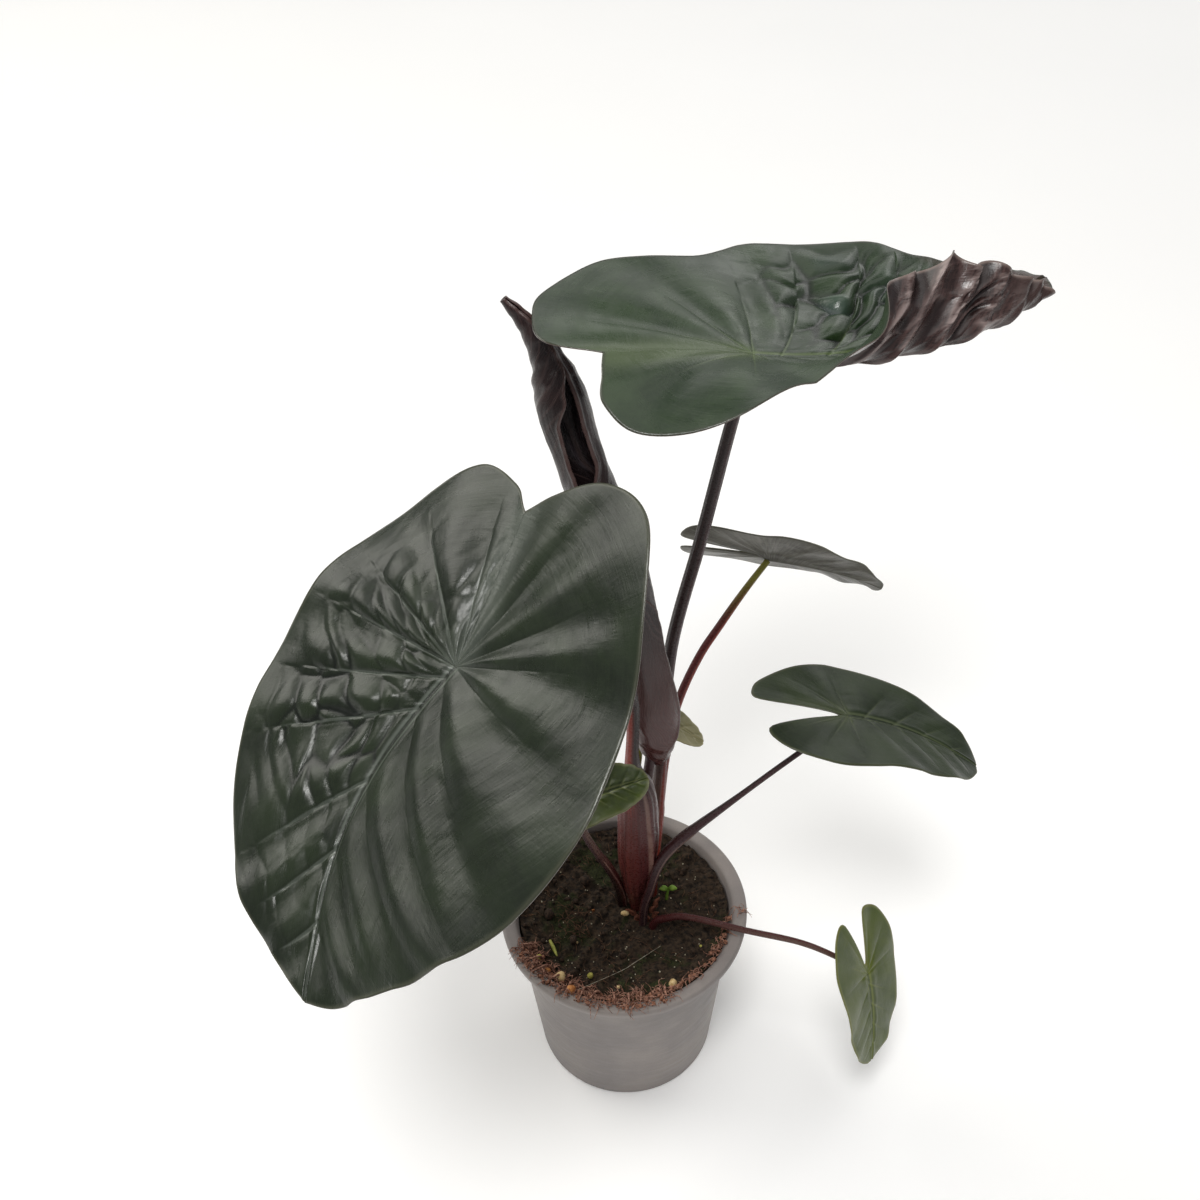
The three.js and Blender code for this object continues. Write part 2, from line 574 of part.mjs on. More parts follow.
// The earth itself: the pot's inside with a lumpy top
function earthSolid() {
  const points = [];
  const triangles = [];
  const bottom = FLOOR + CLEARANCE;
  const top = SOIL_LEVEL + 1;
  const topRadius = insideRadius(top) - CLEARANCE;
  const bottomRadius = insideRadius(bottom) - CLEARANCE - 0.3;
  const rings = [];
  const ringOf = (radius, height) => {
    const start = points.length;
    for (let k = 0; k < SOIL_SECTORS; k++) {
      const angle = (k / SOIL_SECTORS) * 2 * Math.PI;
      const [x, y] = [radius * Math.cos(angle), radius * Math.sin(angle)];
      points.push(new THREE.Vector3(x, y, height ?? soilHeight(x, y)));
    }
    rings.push(start);
  };
  ringOf(bottomRadius, bottom);
  for (let ring = SOIL_RINGS; ring > 0; ring--) {
    ringOf(topRadius * ring / SOIL_RINGS);
  }
  const low = points.push(new THREE.Vector3(0, 0, bottom)) - 1;
  const high = points.push(new THREE.Vector3(0, 0, soilHeight(0, 0))) - 1;
  for (let k = 0; k < SOIL_SECTORS; k++) {
    const next = (k + 1) % SOIL_SECTORS;
    for (let ring = 0; ring < rings.length - 1; ring++) {
      const [a, b] = [rings[ring], rings[ring + 1]];
      triangles.push(a + k, a + next, b + next, a + k, b + next, b + k);
    }
    const inner = rings[rings.length - 1];
    triangles.push(low, rings[0] + next, rings[0] + k);
    triangles.push(high, inner + k, inner + next);
  }
  return solidOf(geometryOf(points, triangles));
}

// Perlite grains, sunk into the earth at seeded places round the stalks
function perliteSolids() {
  const random = seededRandom(7);
  const grains = [];
  for (let k = 0; k < PERLITE_COUNT; k++) {
    const angle = 2 * Math.PI * (k + 0.8 * random()) / PERLITE_COUNT;
    const distance = 22 + 24 * random();
    const size = 1.5 + 1.3 * random();
    const [x, y] = [distance * Math.cos(angle), distance * Math.sin(angle)];
    const grain = new THREE.IcosahedronGeometry(size, 0)
      .rotateX(random() * 3)
      .rotateZ(random() * 3)
      .translate(x, y, soilHeight(x, y) + 0.35 * size);
    grains.push(solidOf(grain));
  }
  return grains;
}

// Coir fibres that grow out of the earth's edge and lie over the front left of the rim
function fringeSolids() {
  const random = seededRandom(21);
  const fibres = [];
  for (let k = 0; k < FRINGE_COUNT; k++) {
    const angle = rad(205 + 95 * (k + 0.5 * random()) / FRINGE_COUNT);
    const reach = 54.5 + 3.5 * random();
    const turn = rad(8 * (random() - 0.5));
    const spot = (radius, height, twist) => [
      radius * Math.cos(angle + twist), radius * Math.sin(angle + twist), height];
    const edge = insideRadius(SOIL_LEVEL) - CLEARANCE;
    const route = [
      spot(edge - 4, SOIL_LEVEL - 1, 0), spot(edge - 1.6, POT_HEIGHT - 0.6, turn / 2),
      spot(reach, POT_HEIGHT + 1.6, turn)];
    fibres.push(tubeSolid(route, [1.4, 0.8, 0.5], 4));
  }
  return fibres;
}

function soilSolid() {
  const pieces = [...perliteSolids(), ...fringeSolids()];
  const full = pieces.reduce((soil, piece) => soil.add(piece), earthSolid());
  const standing = Object.keys(STALKS).filter((name) => STALKS[name].route[0][2] === STALK_FOOT);
  const holed = standing.reduce((soil, name) => soil.subtract(stalkSolid(name, CLEARANCE)), full);
  return largestBody(holed.subtract(seedlingSolid(CLEARANCE)));
}

// A stem with two blunt seed leaves
function seedlingSolid(grow = 0) {
  const [x, y] = SEEDLING.at;
  const foot = soilHeight(x, y) - 4;
  const top = soilHeight(x, y) + SEEDLING.height;
  const stem = tubeSolid([[x, y, foot], [x, y, (foot + top) / 2], [x + 0.6, y, top]], [0.8, 0.8, 0.7], 6, grow);
  if (grow > 0) {
    return stem;
  }
  return [-1, 1].reduce((plant, side) => {
    const end = [x + 0.6 + side * SEEDLING.leaf, y - 1, top + 1.5];
    const middle = [x + 0.6 + side * SEEDLING.leaf / 2, y - 0.5, top + 1.4];
    return plant.add(tubeSolid([[x + 0.6, y, top], middle, end], [0.6, 1.5, 0.5], 6));
  }, stem);
}

const group = new THREE.Group();
group.add(meshOf('pot', potSolid(), 0x837e7a, 0.45));
group.add(meshOf('soil', soilSolid(), 0x2d2d23, 0.95));
group.add(meshOf('seedling', seedlingSolid(), 0x7f9a3c, 0.6));

for (const [name, leaf] of Object.entries(LEAVES)) {
  const blade = bladeSolid(leaf).subtract(stalkSolid(name, CLEARANCE));
  group.add(meshOf(`leaf_${name}`, blade, leaf.colour, 0.4));
}
const scroll = scrollSolid().subtract(stalkSolid('rolled', CLEARANCE));
group.add(meshOf('leaf_rolled', scroll, SCROLL.colour, 0.5));

const neighbours = { front_left: ['rolled', 'upper_right', 'right', 'low_right', 'under_front'] };
for (const [name, stalk] of Object.entries(STALKS)) {
  const cut = neighbours[name] ?? [];
  const solid = cut.reduce((body, other) => body.subtract(stalkSolid(other, CLEARANCE)), stalkSolid(name));
  group.add(meshOf(`stalk_${name}`, solid, stalk.colour, 0.5));
}

export default group;
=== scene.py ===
"""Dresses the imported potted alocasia: fine leaves, stalks, soil and pot, with a floor, lights and a camera.

Lengths of the plant are in millimetres, as in the part's source, and become metres where a mesh is made.
+Z is up, -Y is the front and +X the right. The origin is the middle of the pot's base.
"""
import math
from types import SimpleNamespace

import bmesh
import bpy
import numpy as np
from mathutils import Matrix, Vector


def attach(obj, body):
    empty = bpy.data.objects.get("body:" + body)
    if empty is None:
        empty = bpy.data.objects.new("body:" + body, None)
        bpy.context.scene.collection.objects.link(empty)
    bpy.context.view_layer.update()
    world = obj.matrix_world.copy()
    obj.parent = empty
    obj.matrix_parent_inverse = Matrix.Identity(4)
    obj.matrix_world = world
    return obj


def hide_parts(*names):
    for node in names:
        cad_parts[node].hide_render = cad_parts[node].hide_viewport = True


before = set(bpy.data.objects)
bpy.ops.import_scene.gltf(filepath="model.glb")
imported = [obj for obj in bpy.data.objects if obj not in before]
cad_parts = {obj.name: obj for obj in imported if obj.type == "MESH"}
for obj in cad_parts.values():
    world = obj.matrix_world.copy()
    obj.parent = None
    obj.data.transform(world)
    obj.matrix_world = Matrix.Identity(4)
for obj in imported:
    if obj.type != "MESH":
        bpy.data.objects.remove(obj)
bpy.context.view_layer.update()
MM = 0.001
NOISE_CELLS = 64

# The least length to divide by
TINY = 1e-6

# How far the white floor reaches each way
FLOOR_REACH = 6000

# Camera, fitted to the pot's rim and base
LENS = 39.0
SENSOR = 36.0
CAMERA_AT = (-6.6, -383.0, 626.0)
CAMERA_DOWN = 40.8
CAMERA_ROLL = -1.9

# Pot and soil
RIM_RADIUS = 60
POT_HEIGHT = 98.7
BASE_RADIUS = 44.7
WALL_TOP_RADIUS = 52.8
WALL = 1.1
FLOOR = 2.4
LIP_DROP = 4
DRAIN_RADIUS = 3.5
DRAIN_RING = 28
DRAIN_COUNT = 6
CLEARANCE = 0.35
SOIL_LEVEL = 92.5
PERLITE_COUNT = 14
FRINGE_COUNT = 12
SOIL_RINGS = 120
SOIL_SECTORS = 300
CRUMB_COUNT = 420
SPECK_COUNT = 110
FIBRE_COUNT = 260
TUFT_COUNT = 50
DUST_COUNT = 330
COIR_COUNT = 640
STRAY_COUNT = 9
SCALE_COUNT = 13

# Plant
BLADE = 0.9
SOCKET_DEPTH = 2.6
STALK_FOOT = 74
SLOPE_STEPS = 32
MIDRIB_STEPS = 240

# Widths and depths of the lines on every blade, in mm
VEIN_WIDTH = 0.6
VEIN_GROOVE = 0.5
VEIN_SHOULDER = 0.2
MIDRIB_GROOVE = 0.45
MIDRIB_SHOULDER = 0.25
RIB_WIDTH = 1.1
KEEL_WIDTH = 1.7
SEAM_WIDTH = 8
RIM_WIDTH = 1.6
BLISTER_GAIN = 2.2

# Half outlines, as shares of the leaf's length and width: midrib tip first, notch last
FRONT_LEFT_HALF = [
    (1, 0), (0.975, 0.16), (0.84, 0.46), (0.6, 0.81), (0.29, 1), (-0.02, 0.97),
    (-0.48, 0.89), (-0.9, 0.73), (-1.02, 0.43), (-0.9, 0.16),
]
FRONT_RIGHT_HALF = [
    (1, 0), (0.955, 0.16), (0.85, 0.47), (0.61, 0.81), (0.28, 0.97), (-0.02, 0.96),
    (-0.46, 0.85), (-0.78, 0.63), (-0.95, 0.4), (-0.91, 0.16),
]
UPPER_LEFT_HALF = [
    (1, 0), (0.95, 0.16), (0.82, 0.45), (0.65, 0.86), (0.3, 1.06), (-0.02, 0.95),
    (-0.5, 0.94), (-0.87, 0.71), (-1.02, 0.43), (-1.04, 0.19),
]
UPPER_RIGHT_HALF = [
    (1, 0), (0.95, 0.16), (0.82, 0.45), (0.55, 0.73), (0.18, 0.63), (-0.02, 0.74),
    (-0.43, 0.8), (-0.78, 0.64), (-0.9, 0.38), (-0.85, 0.15),
]
NARROW = [
    (1, 0), (0.985, 0.2), (0.86, 0.52), (0.55, 0.82), (0.15, 0.97), (-0.1, 1),
    (-0.5, 0.95), (-0.86, 0.74), (-1, 0.44), (-0.92, 0.26), (-0.5, 0.125), (-0.2, 0.045),
]

# Main side veins of each half, from the tip to the notch: the shares of the midrib's length where
# they start, and the shares of the way round the margin where they end
FRONT_STARTS = [1, 0.8, 0.6, 0.39, 0.15, 0.04, 0, 0, 0, 0, 0]
FRONT_LEFT_ENDS = [0, 0.12, 0.175, 0.22, 0.26, 0.32, 0.44, 0.55, 0.64, 0.8, 1]
FRONT_RIGHT_ENDS = [0, 0.14, 0.2, 0.255, 0.36, 0.425, 0.51, 0.58, 0.685, 0.88, 1]
UPPER_STARTS = [1, 0.84, 0.72, 0.6, 0.48, 0.35, 0.22, 0.08, 0, 0, 0, 0]
UPPER_LEFT_ENDS = [0, 0.08, 0.135, 0.18, 0.225, 0.265, 0.31, 0.375, 0.45, 0.6, 0.79, 1]
UPPER_RIGHT_ENDS = [0, 0.1, 0.145, 0.18, 0.22, 0.26, 0.295, 0.34, 0.425, 0.575, 0.775, 1]
NARROW_STARTS = [1, 0.78, 0.56, 0.34, 0.12, 0, 0, 0, 0]
NARROW_ENDS = [0, 0.125, 0.185, 0.23, 0.28, 0.41, 0.53, 0.66, 1]

# Each leaf: where its stalk joins, how it is turned, its outline and how it bends.
# Lengths are in mm, angles in degrees, bends in degrees for every 100 mm. A fold lists the angles
# by which the right half turns up, at equal steps from the joint to the tip. Blisters are
# (middle along the midrib, middle across it, reach, height), for the left and the right half.
# Peaks of the margin are (middle along the midrib, reach, height).
LARGE_LEAF = dict(
    vein_arch=0.4, quilt=1.6, wave=1.5, rows=26, columns=78, keel=2.6, rib=1.0,
    folds=0.9, slant=1, left_line=0.35, right_line=0.35, valley=1.4, calm=0.75, blister_size=11,
    uneven=0.4,
)
SMALL_LEAF = dict(
    left_outline=NARROW, right_outline=NARROW, vein_starts=NARROW_STARTS,
    left_ends=NARROW_ENDS, right_ends=NARROW_ENDS, vein_arch=0.2, notch=3,
    quilt=0.5, wave=0.7, rows=14, columns=36, keel=2.2, rib=0.5,
    folds=0.35, slant=0, left_line=0.45, right_line=0.45, valley=1.2, calm=0.8, blister_size=7,
    uneven=0.4,
    left_blisters=(30, 10, 60, 0.1), right_blisters=(30, 10, 60, 0.1),
)
LEAVES = {
    "front_left": dict(
        LARGE_LEAF, left_outline=FRONT_LEFT_HALF, right_outline=FRONT_RIGHT_HALF,
        vein_starts=FRONT_STARTS, left_ends=FRONT_LEFT_ENDS, right_ends=FRONT_RIGHT_ENDS,
        at=(-56.8, -58.6, 317.7), heading=-123.9, pitch=34.9, roll=9.8,
        length=121, lobes=74.8, half=75.7, notch=59, bend=0.5, lobe_bend=-11.3, sweep=3.9,
        left_lift=5.7, right_lift=11.1, left_lobe_lift=12.2, right_lobe_lift=-6.6,
        left_cup=-10.1, right_cup=-9.3, bow=-14.1,
        left_blisters=(20, 50, 60, 0.15), right_blisters=(22, 36, 56, 1.8),
        slant=-1.6, left_line=0.1, right_line=0.8, left_droop=0.8, right_droop=1,
    ),
    "upper_right": dict(
        LARGE_LEAF, left_outline=UPPER_LEFT_HALF, right_outline=UPPER_RIGHT_HALF,
        vein_starts=UPPER_STARTS, left_ends=UPPER_LEFT_ENDS, right_ends=UPPER_RIGHT_ENDS,
        at=(51.3, 27.4, 385.8), heading=20.3, pitch=18.4, roll=0,
        length=153, lobes=73.7, half=67.1, right_width=0.83, notch=59.7,
        bend=-17.7, lobe_bend=15, sweep=14, left_lift=6.3, right_lift=11.6,
        left_lobe_lift=-3.4, right_lobe_lift=-26.6, left_cup=10.6, right_cup=8.7,
        fold=(0, 21, 41, 79, 104, 116, 112, 107, 106, 116, 130), fold_start=7.5, fold_width=8,
        tip_bend=90, tip_from=0.93,
        left_blisters=(70, 34, 37, 4.2), right_blisters=(105, 36, 52, 2.6),
        calm=0.3, blister_size=16, right_ruffle=3, uneven=0.8, wave=0.6,
        right_peaks=((93, 5.2, 5.8), (113, 6, 4.5)),
    ),
    "back_right": dict(
        SMALL_LEAF, at=(68.4, 63.4, 263.5), heading=-9.8, pitch=5, roll=-56.9,
        length=51.9, lobes=39.3, half=21.1, bend=31, lobe_bend=-1.7, sweep=7.4,
        left_lift=7.5, right_lift=5.1, left_lobe_lift=4.7, right_lobe_lift=11.1,
    ),
    "right": dict(
        SMALL_LEAF, at=(102.1, 19.3, 205.8), heading=10.9, pitch=21.4, roll=-1.1,
        length=71.1, lobes=43.6, half=34.2, left_width=0.85, bend=22.3, lobe_bend=13.2,
        sweep=-33.8, left_lift=9.3, right_lift=4.6, left_lobe_lift=-6.8, right_lobe_lift=0.6,
    ),
    "low_right": dict(
        SMALL_LEAF, at=(114.7, -33.1, 83.5), heading=-60.1, pitch=66.9, roll=-16.3,
        length=51.2, lobes=32.9, half=23.9, notch=4.8, left_width=0.9, bend=20.3,
        lobe_bend=20.3, sweep=-19.4, left_lift=3.3, right_lift=7.8, left_lobe_lift=3.5,
        right_lobe_lift=1.3,
    ),
    "back": dict(
        SMALL_LEAF, at=(13.6, 51.3, 182), heading=-12.9, pitch=31, roll=-1.6,
        quilt=0.2, wave=0.2, folds=0.1, length=33.6, lobes=15, half=11.8, bend=17.9, sweep=1.4,
        left_lift=6.2, right_lift=6.5,
    ),
    "under_front": dict(
        SMALL_LEAF, at=(-15.9, -28, 210.3), heading=16.1, pitch=-9, roll=20.8,
        length=28.4, lobes=20, half=13.1, bend=21.6, sweep=-3.9, left_lift=8.2,
        right_lift=10.5,
    ),
}

# The young leaf, still rolled into a scroll: its axis from the horn at the top to the lobes,
# and tables of (share of the length, value) for its outer radius and for its two margins.
# Margin angles run from the front through +X, in degrees. The turns lie a spacing apart.
SCROLL_AXIS = [
    (-38, 45, 402), (-28, 43, 390), (-20.4, 39, 372), (-14.6, 33, 349), (-6.1, 26, 324),
    (3.4, 21, 293), (9.2, 17, 258), (14.3, 14, 225), (18.2, 12, 192),
]
SCROLL_RADIUS = [
    (0, 1.6), (0.05, 2.9), (0.1, 4.1), (0.15, 5.9), (0.2, 7.8), (0.25, 9.8), (0.3, 11.3), (0.4, 10.8),
    (0.5, 11), (0.62, 11.5), (0.8, 12), (0.875, 12.8), (0.93, 11.8), (0.97, 9.5), (1, 6.5),
]
SCROLL_INNER = [(0, 62), (0.12, 58), (0.2, 36), (0.42, 34), (0.5, -20), (0.6, -60), (1, -40)]
SCROLL_OUTER = [
    (0, 398), (0.15, 400), (0.22, 395), (0.28, 372), (0.34, 345), (0.42, 338), (0.52, 336),
    (0.6, 350), (0.7, 420), (0.9, 425), (1, 370),
]
SCROLL_SPACING = 2.3
SCROLL_LENGTH = 230
SCROLL_ROWS = 270
SCROLL_COLUMNS = 150

# Each stalk: its route from the soil up to its leaf, and its radius along the route
STALKS = {
    "front_left": dict(
        route=[
            (7, 3.5, STALK_FOOT), (7, 3, 96), (6.5, 1, 118), (6.8, -0.5, 140), (7, -1, 160),
            (6.6, -1.5, 183), (5, -3, 206), (5, -6, 246), (-4, -16, 284), (-23, -32, 305),
            (-41, -47, 312),
        ],
        radii=[3, 4, 6.9, 9, 9.2, 8, 3.2, 2.8, 2.7, 2.6, 2.5, 2.2],
        sheath=0.5, lip=(332, 300),
    ),
    "upper_right": dict(
        route=[
            (13.5, 10, STALK_FOOT), (14, 11, 110), (16.5, 15, 140), (18.5, 21, 170), (20.3, 29, 196),
            (24.5, 34, 242), (35, 32, 298), (44.8, 29, 355),
        ],
        radii=[3, 3.2, 3.2, 3.1, 3, 2.9, 2.7, 2.5, 2.2],
        sheath=0.3, lip=(300, 280),
    ),
    "rolled": dict(
        route=[(8.5, 2.5, 160), (11, 4.5, 177), (13.5, 8, 194), (16, 12, 215)],
        radii=[2.6, 2.6, 2.5, 2.4],
    ),
    "back_right": dict(
        route=[
            (12.5, 17.5, STALK_FOOT), (13.5, 18.5, 112), (18, 22.5, 138), (21, 28.5, 168),
            (25, 35, 190), (30, 40, 205), (38, 46, 221), (47, 52, 233), (58, 58, 248),
        ],
        radii=[2.2, 2.2, 2.2, 2.2, 2.1, 2, 1.9, 1.8, 1.6, 1.4],
    ),
    "right": dict(
        route=[
            (9, -6.5, STALK_FOOT), (9.5, -6.8, 104), (12.6, -7, 120), (16.2, -5.7, 135),
            (22.1, -3.4, 145), (33.7, 0.4, 154.7), (53.8, 6.5, 168.6), (72.3, 11.5, 182.4),
        ],
        radii=[2, 2, 2.1, 2.3, 2.5, 2.2, 1.4, 1.3, 1.3],
        sheath=0.62, lip=(285, 300),
    ),
    "low_right": dict(
        route=[
            (13.3, -9, STALK_FOOT), (14, -9.6, 95), (20, -12.2, 103.5), (31, -15, 107.5),
            (57, -22, 105.5), (82, -29, 104.5), (100, -33.5, 97.5),
        ],
        radii=[2, 2, 1.8, 1.6, 1.5, 1.4, 1.3, 1.2],
    ),
    "back": dict(
        route=[(3, 15.5, STALK_FOOT), (3, 18, 112), (6, 28, 140), (10, 40, 164)],
        radii=[1.8, 1.8, 1.6, 1.4, 1.2],
    ),
    "under_front": dict(
        route=[
            (0.3, 5, STALK_FOOT), (-1.2, 3.5, 104), (-6.5, -6, 135), (-14, -19.5, 170), (-18, -28, 196),
        ],
        radii=[2.3, 2.4, 2.2, 1.8, 1.5, 1.3],
        sheath=0.5, lip=(320, 300),
    ),
}
SEEDLING_AT = (21.5, 7)

# What lies on the soil where the photograph shows it: (x, y, size) in mm
CREAM_PEBBLES = [
    (0.5, -2, 2), (-31, -38, 2.6), (21.5, -42, 2.6), (-23, -17, 0.8), (10, -1, 0.8), (-4, -43, 0.8),
]
YELLOW_PEBBLES = [(-41, -26, 1.9), (-17, -36, 1.5), (-43, -19, 0.7), (36, -22, 0.7), (42, -22, 0.6)]
ORANGE_PEBBLES = [(-37, -34, 1.4), (-26, -46, 2.2), (-15, 2, 0.8), (-35, -35, 0.9)]
THREAD = [(-23, -47), (-3, -34), (4, -30), (17, -21)]
GRASS = [(-36, -16), (-34, -22), (-32.5, -27)]

# Looks of the blades, as leaf_material reads them, with colours from 0 to 255
# The last colour under each blade is that of painted highlights on its raised patches.
LEAF_LOOKS = {
    "front_left": dict(
        name="front_leaf", top=((20, 27, 16), (34, 43, 27), (98, 104, 96)),
        under=((52, 36, 34), (82, 64, 60), (112, 98, 94)), margin=((66, 68, 54), (104, 92, 84)),
        rough=(0.25, 0.36),
    ),
    "upper_right": dict(
        name="upper_leaf", top=((22, 38, 18), (42, 58, 34), (90, 104, 66)),
        under=((24, 14, 14), (80, 60, 57), (158, 141, 137)), margin=((40, 44, 30), (116, 100, 94)),
        rough=(0.2, 0.36), tail=((58, 42, 39), 112, 128),
    ),
    "back_right": dict(
        name="grey_leaf", top=((30, 42, 20), (50, 62, 34), (66, 64, 52)),
        under=((68, 66, 60), (114, 113, 105), (146, 146, 138)), margin=((70, 74, 50), (92, 90, 78)),
    ),
    "right": dict(
        name="small_leaf", top=((23, 34, 14), (40, 52, 26), (84, 92, 66)),
        under=((84, 86, 77), (112, 114, 104), (140, 142, 132)), margin=((66, 70, 46), (104, 106, 90)),
        gloss=0.35,
    ),
    "low_right": dict(
        name="olive_leaf", top=((52, 66, 8), (74, 86, 20), (108, 116, 50)),
        under=((92, 94, 66), (122, 124, 92), (140, 142, 108)), margin=((112, 114, 60), (132, 132, 84)),
    ),
    "back": dict(
        name="pale_leaf", top=((118, 114, 78), (142, 136, 102), (156, 150, 116)),
        under=((106, 102, 76), (132, 128, 100), (146, 142, 116)),
        margin=((152, 146, 110), (140, 134, 98)),
    ),
    "under_front": dict(
        name="hidden_leaf", top=((46, 62, 18), (88, 104, 42), (134, 142, 94)),
        under=((70, 80, 44), (96, 104, 62), (120, 126, 84)), margin=((128, 130, 92), (112, 116, 78)),
    ),
    "rolled": dict(
        name="young_leaf", top=((22, 12, 12), (42, 26, 25), (66, 52, 50)),
        under=((20, 13, 14), (36, 27, 29), (96, 88, 94)), margin=((76, 58, 55), (104, 82, 78)),
        rough=(0.2, 0.36), gloss=0.4, tail=((74, 42, 39), 150, 215),
    ),
}

# Looks of the stalks, as stalk_material reads them
# Each foot and top is a pair of the shaded side's colour and the lit side's: painted shade and light, with
# the stalk's own hues
WINE = (74, 32, 32)
RED = (132, 52, 40)
PURPLE = (34, 20, 20)
TAN = (92, 70, 62)
MAUVE = (64, 45, 47)
OLIVE = (120, 118, 46)
STALK_LOOKS = {
    "front_left": dict(
        name="front_stalk", foot=(WINE, (96, 46, 42)), top=(PURPLE, RED), change=(0.4, 0.55), side=190,
    ),
    "upper_right": dict(name="upper_stalk", foot=(TAN, RED), top=(PURPLE, MAUVE), change=(0.3, 0.5)),
    "rolled": dict(name="rolled_stalk", foot=(TAN, TAN), top=(MAUVE, MAUVE)),
    "back_right": dict(name="back_right_stalk", foot=(WINE, RED), top=(OLIVE, OLIVE), change=(0.78, 1)),
    "right": dict(name="right_stalk", foot=(WINE, MAUVE), top=(PURPLE, MAUVE), side=290),
    "low_right": dict(
        name="low_right_stalk", foot=(WINE, WINE), top=(WINE, TAN), change=(0.3, 0.8), side=250,
    ),
    "back": dict(name="back_stalk", foot=(WINE, RED), top=(OLIVE, OLIVE)),
    "under_front": dict(name="under_front_stalk", foot=(PURPLE, WINE), top=(MAUVE, TAN)),
}


def smooth(value, low, high):
    """0 below low, 1 above high, and a smooth step between them."""
    share = np.clip((value - low) / (high - low), 0, 1)
    return share * share * (3 - 2 * share)


def spline_at(points, shares):
    """Points at the shares of a smooth line through the listed points."""
    points = np.asarray(points, float)
    shares = np.asarray(shares, float)
    last = len(points) - 1
    start = np.minimum((shares * last).astype(int), last - 1)
    f = (shares * last - start)[..., None]
    padded = np.vstack([2 * points[0] - points[1], points, 2 * points[-1] - points[-2]])
    a, b, c, d = (padded[start + k] for k in range(4))
    second, third = 2 * a - 5 * b + 4 * c - d, 3 * b - a - 3 * c + d
    return 0.5 * (2 * b + (c - a) * f + second * f**2 + third * f**3)


def table_at(table, places):
    """Values at the places, with a smooth step between the listed (place, value) pairs."""
    places = np.asarray(places, float)
    result = np.full(places.shape, float(table[0][1]))
    for (x0, y0), (x1, y1) in zip(table, table[1:]):
        result = np.where(places > x0, y0 + (y1 - y0) * smooth(places, x0, x1), result)
    return result


def unit(vectors):
    return vectors / np.maximum(np.linalg.norm(vectors, axis=-1, keepdims=True), TINY)


def full_turn(sides):
    """Angles of the corners of a regular polygon, in radians."""
    return np.linspace(0, 2 * np.pi, sides, endpoint=False)


def turned(reach, angle):
    """The place at a distance from the middle, at an angle from +X in radians."""
    return reach * np.cos(angle), reach * np.sin(angle)


def bell(distance, width):
    """1 in the middle, falling to 0 in a smooth bell."""
    return np.exp(-((distance / width) ** 2))


def direction_at(points, shares):
    """Directions at the shares of a smooth line through the listed points."""
    step = 0.01
    ahead = spline_at(points, np.minimum(1, shares + step))
    return unit(ahead - spline_at(points, np.maximum(0, shares - step)))


def noise(x, y, seed=0):
    """Smooth noise from -1 to 1 over a plane, one lump for each unit of length."""
    x, y = np.broadcast_arrays(np.asarray(x, float), np.asarray(y, float))
    table = np.random.default_rng(seed).uniform(-1, 1, (NOISE_CELLS, NOISE_CELLS))
    low_x, low_y = np.floor(x).astype(int), np.floor(y).astype(int)
    fx, fy = x - low_x, y - low_y
    fx, fy = fx * fx * (3 - 2 * fx), fy * fy * (3 - 2 * fy)

    def corner(i, j):
        return table[(low_x + i) % NOISE_CELLS, (low_y + j) % NOISE_CELLS]

    near = corner(0, 0) * (1 - fx) + corner(1, 0) * fx
    far = corner(0, 1) * (1 - fx) + corner(1, 1) * fx
    return near * (1 - fy) + far * fy


def seeded_random(seed):
    """The same random numbers from 0 to 1 as the part's source draws."""
    state = seed
    while True:
        state = (state * 1664525 + 1013904223) % 2**32
        yield state / 2**32


def midrib_of(leaf):
    """Gives a function from places along the midrib to its bent line, its direction and its sweep."""
    p = np.linspace(-1.1 * leaf["lobes"], 1.1 * leaf["length"], MIDRIB_STEPS + 1)
    past_tip = np.maximum(0, p - leaf.get("tip_from", 1) * leaf["length"])
    bend = np.where(p > 0, leaf["bend"], leaf.get("lobe_bend", 0)) * p + leaf.get("tip_bend", 0) * past_tip
    bend = np.radians(bend / 100)
    sweep = np.radians(np.where(p > 0, leaf.get("sweep", 0), 0) * p / 100)
    along = np.stack([np.cos(bend) * np.cos(sweep), np.cos(bend) * np.sin(sweep), -np.sin(bend)], -1)
    pieces = (along[1:] + along[:-1]) / 2 * (p[1] - p[0])
    middle = np.vstack([np.zeros(3), np.cumsum(pieces, axis=0)])

    def between(values, place):
        return np.stack([np.interp(place, p, values[:, k]) for k in range(3)], -1)

    joint = between(middle, 0)

    def at(place):
        return between(middle, place) - joint, unit(between(along, place)), np.interp(place, p, sweep)

    return at


def turn_of(leaf):
    """The leaf's turn: roll about its length, then pitch, then heading."""
    turn = Matrix.Rotation(math.radians(leaf["heading"]), 3, "Z")
    turn = turn @ Matrix.Rotation(math.radians(leaf["pitch"]), 3, "Y")
    return np.array(turn @ Matrix.Rotation(math.radians(leaf["roll"]), 3, "X"))


def half_word(side):
    return "left" if side > 0 else "right"


def slope_of(leaf, p, side):
    """Gives a function from the distance across one half of the blade to how far it is turned up there."""
    word = half_word(side)
    lift = leaf[f"{word}_lift"]
    lobe_lift = leaf.get(f"{word}_lobe_lift", lift)
    start = np.radians(lift + (lobe_lift - lift) * smooth(-p, 0, leaf["lobes"]))
    cup = math.radians(leaf.get(f"{word}_cup", 0)) / 100
    curl, crease, width = 0.0, 0.0, 1.0
    if side < 0 and "fold" in leaf:
        share = np.clip(p / leaf["length"], 0, 1)
        curl = np.radians(spline_at([[angle] for angle in leaf["fold"]], share)[..., 0])
        crease, width = leaf["fold_start"], leaf["fold_width"]
    return lambda reach: start + cup * reach + curl * smooth(reach, crease, crease + width)


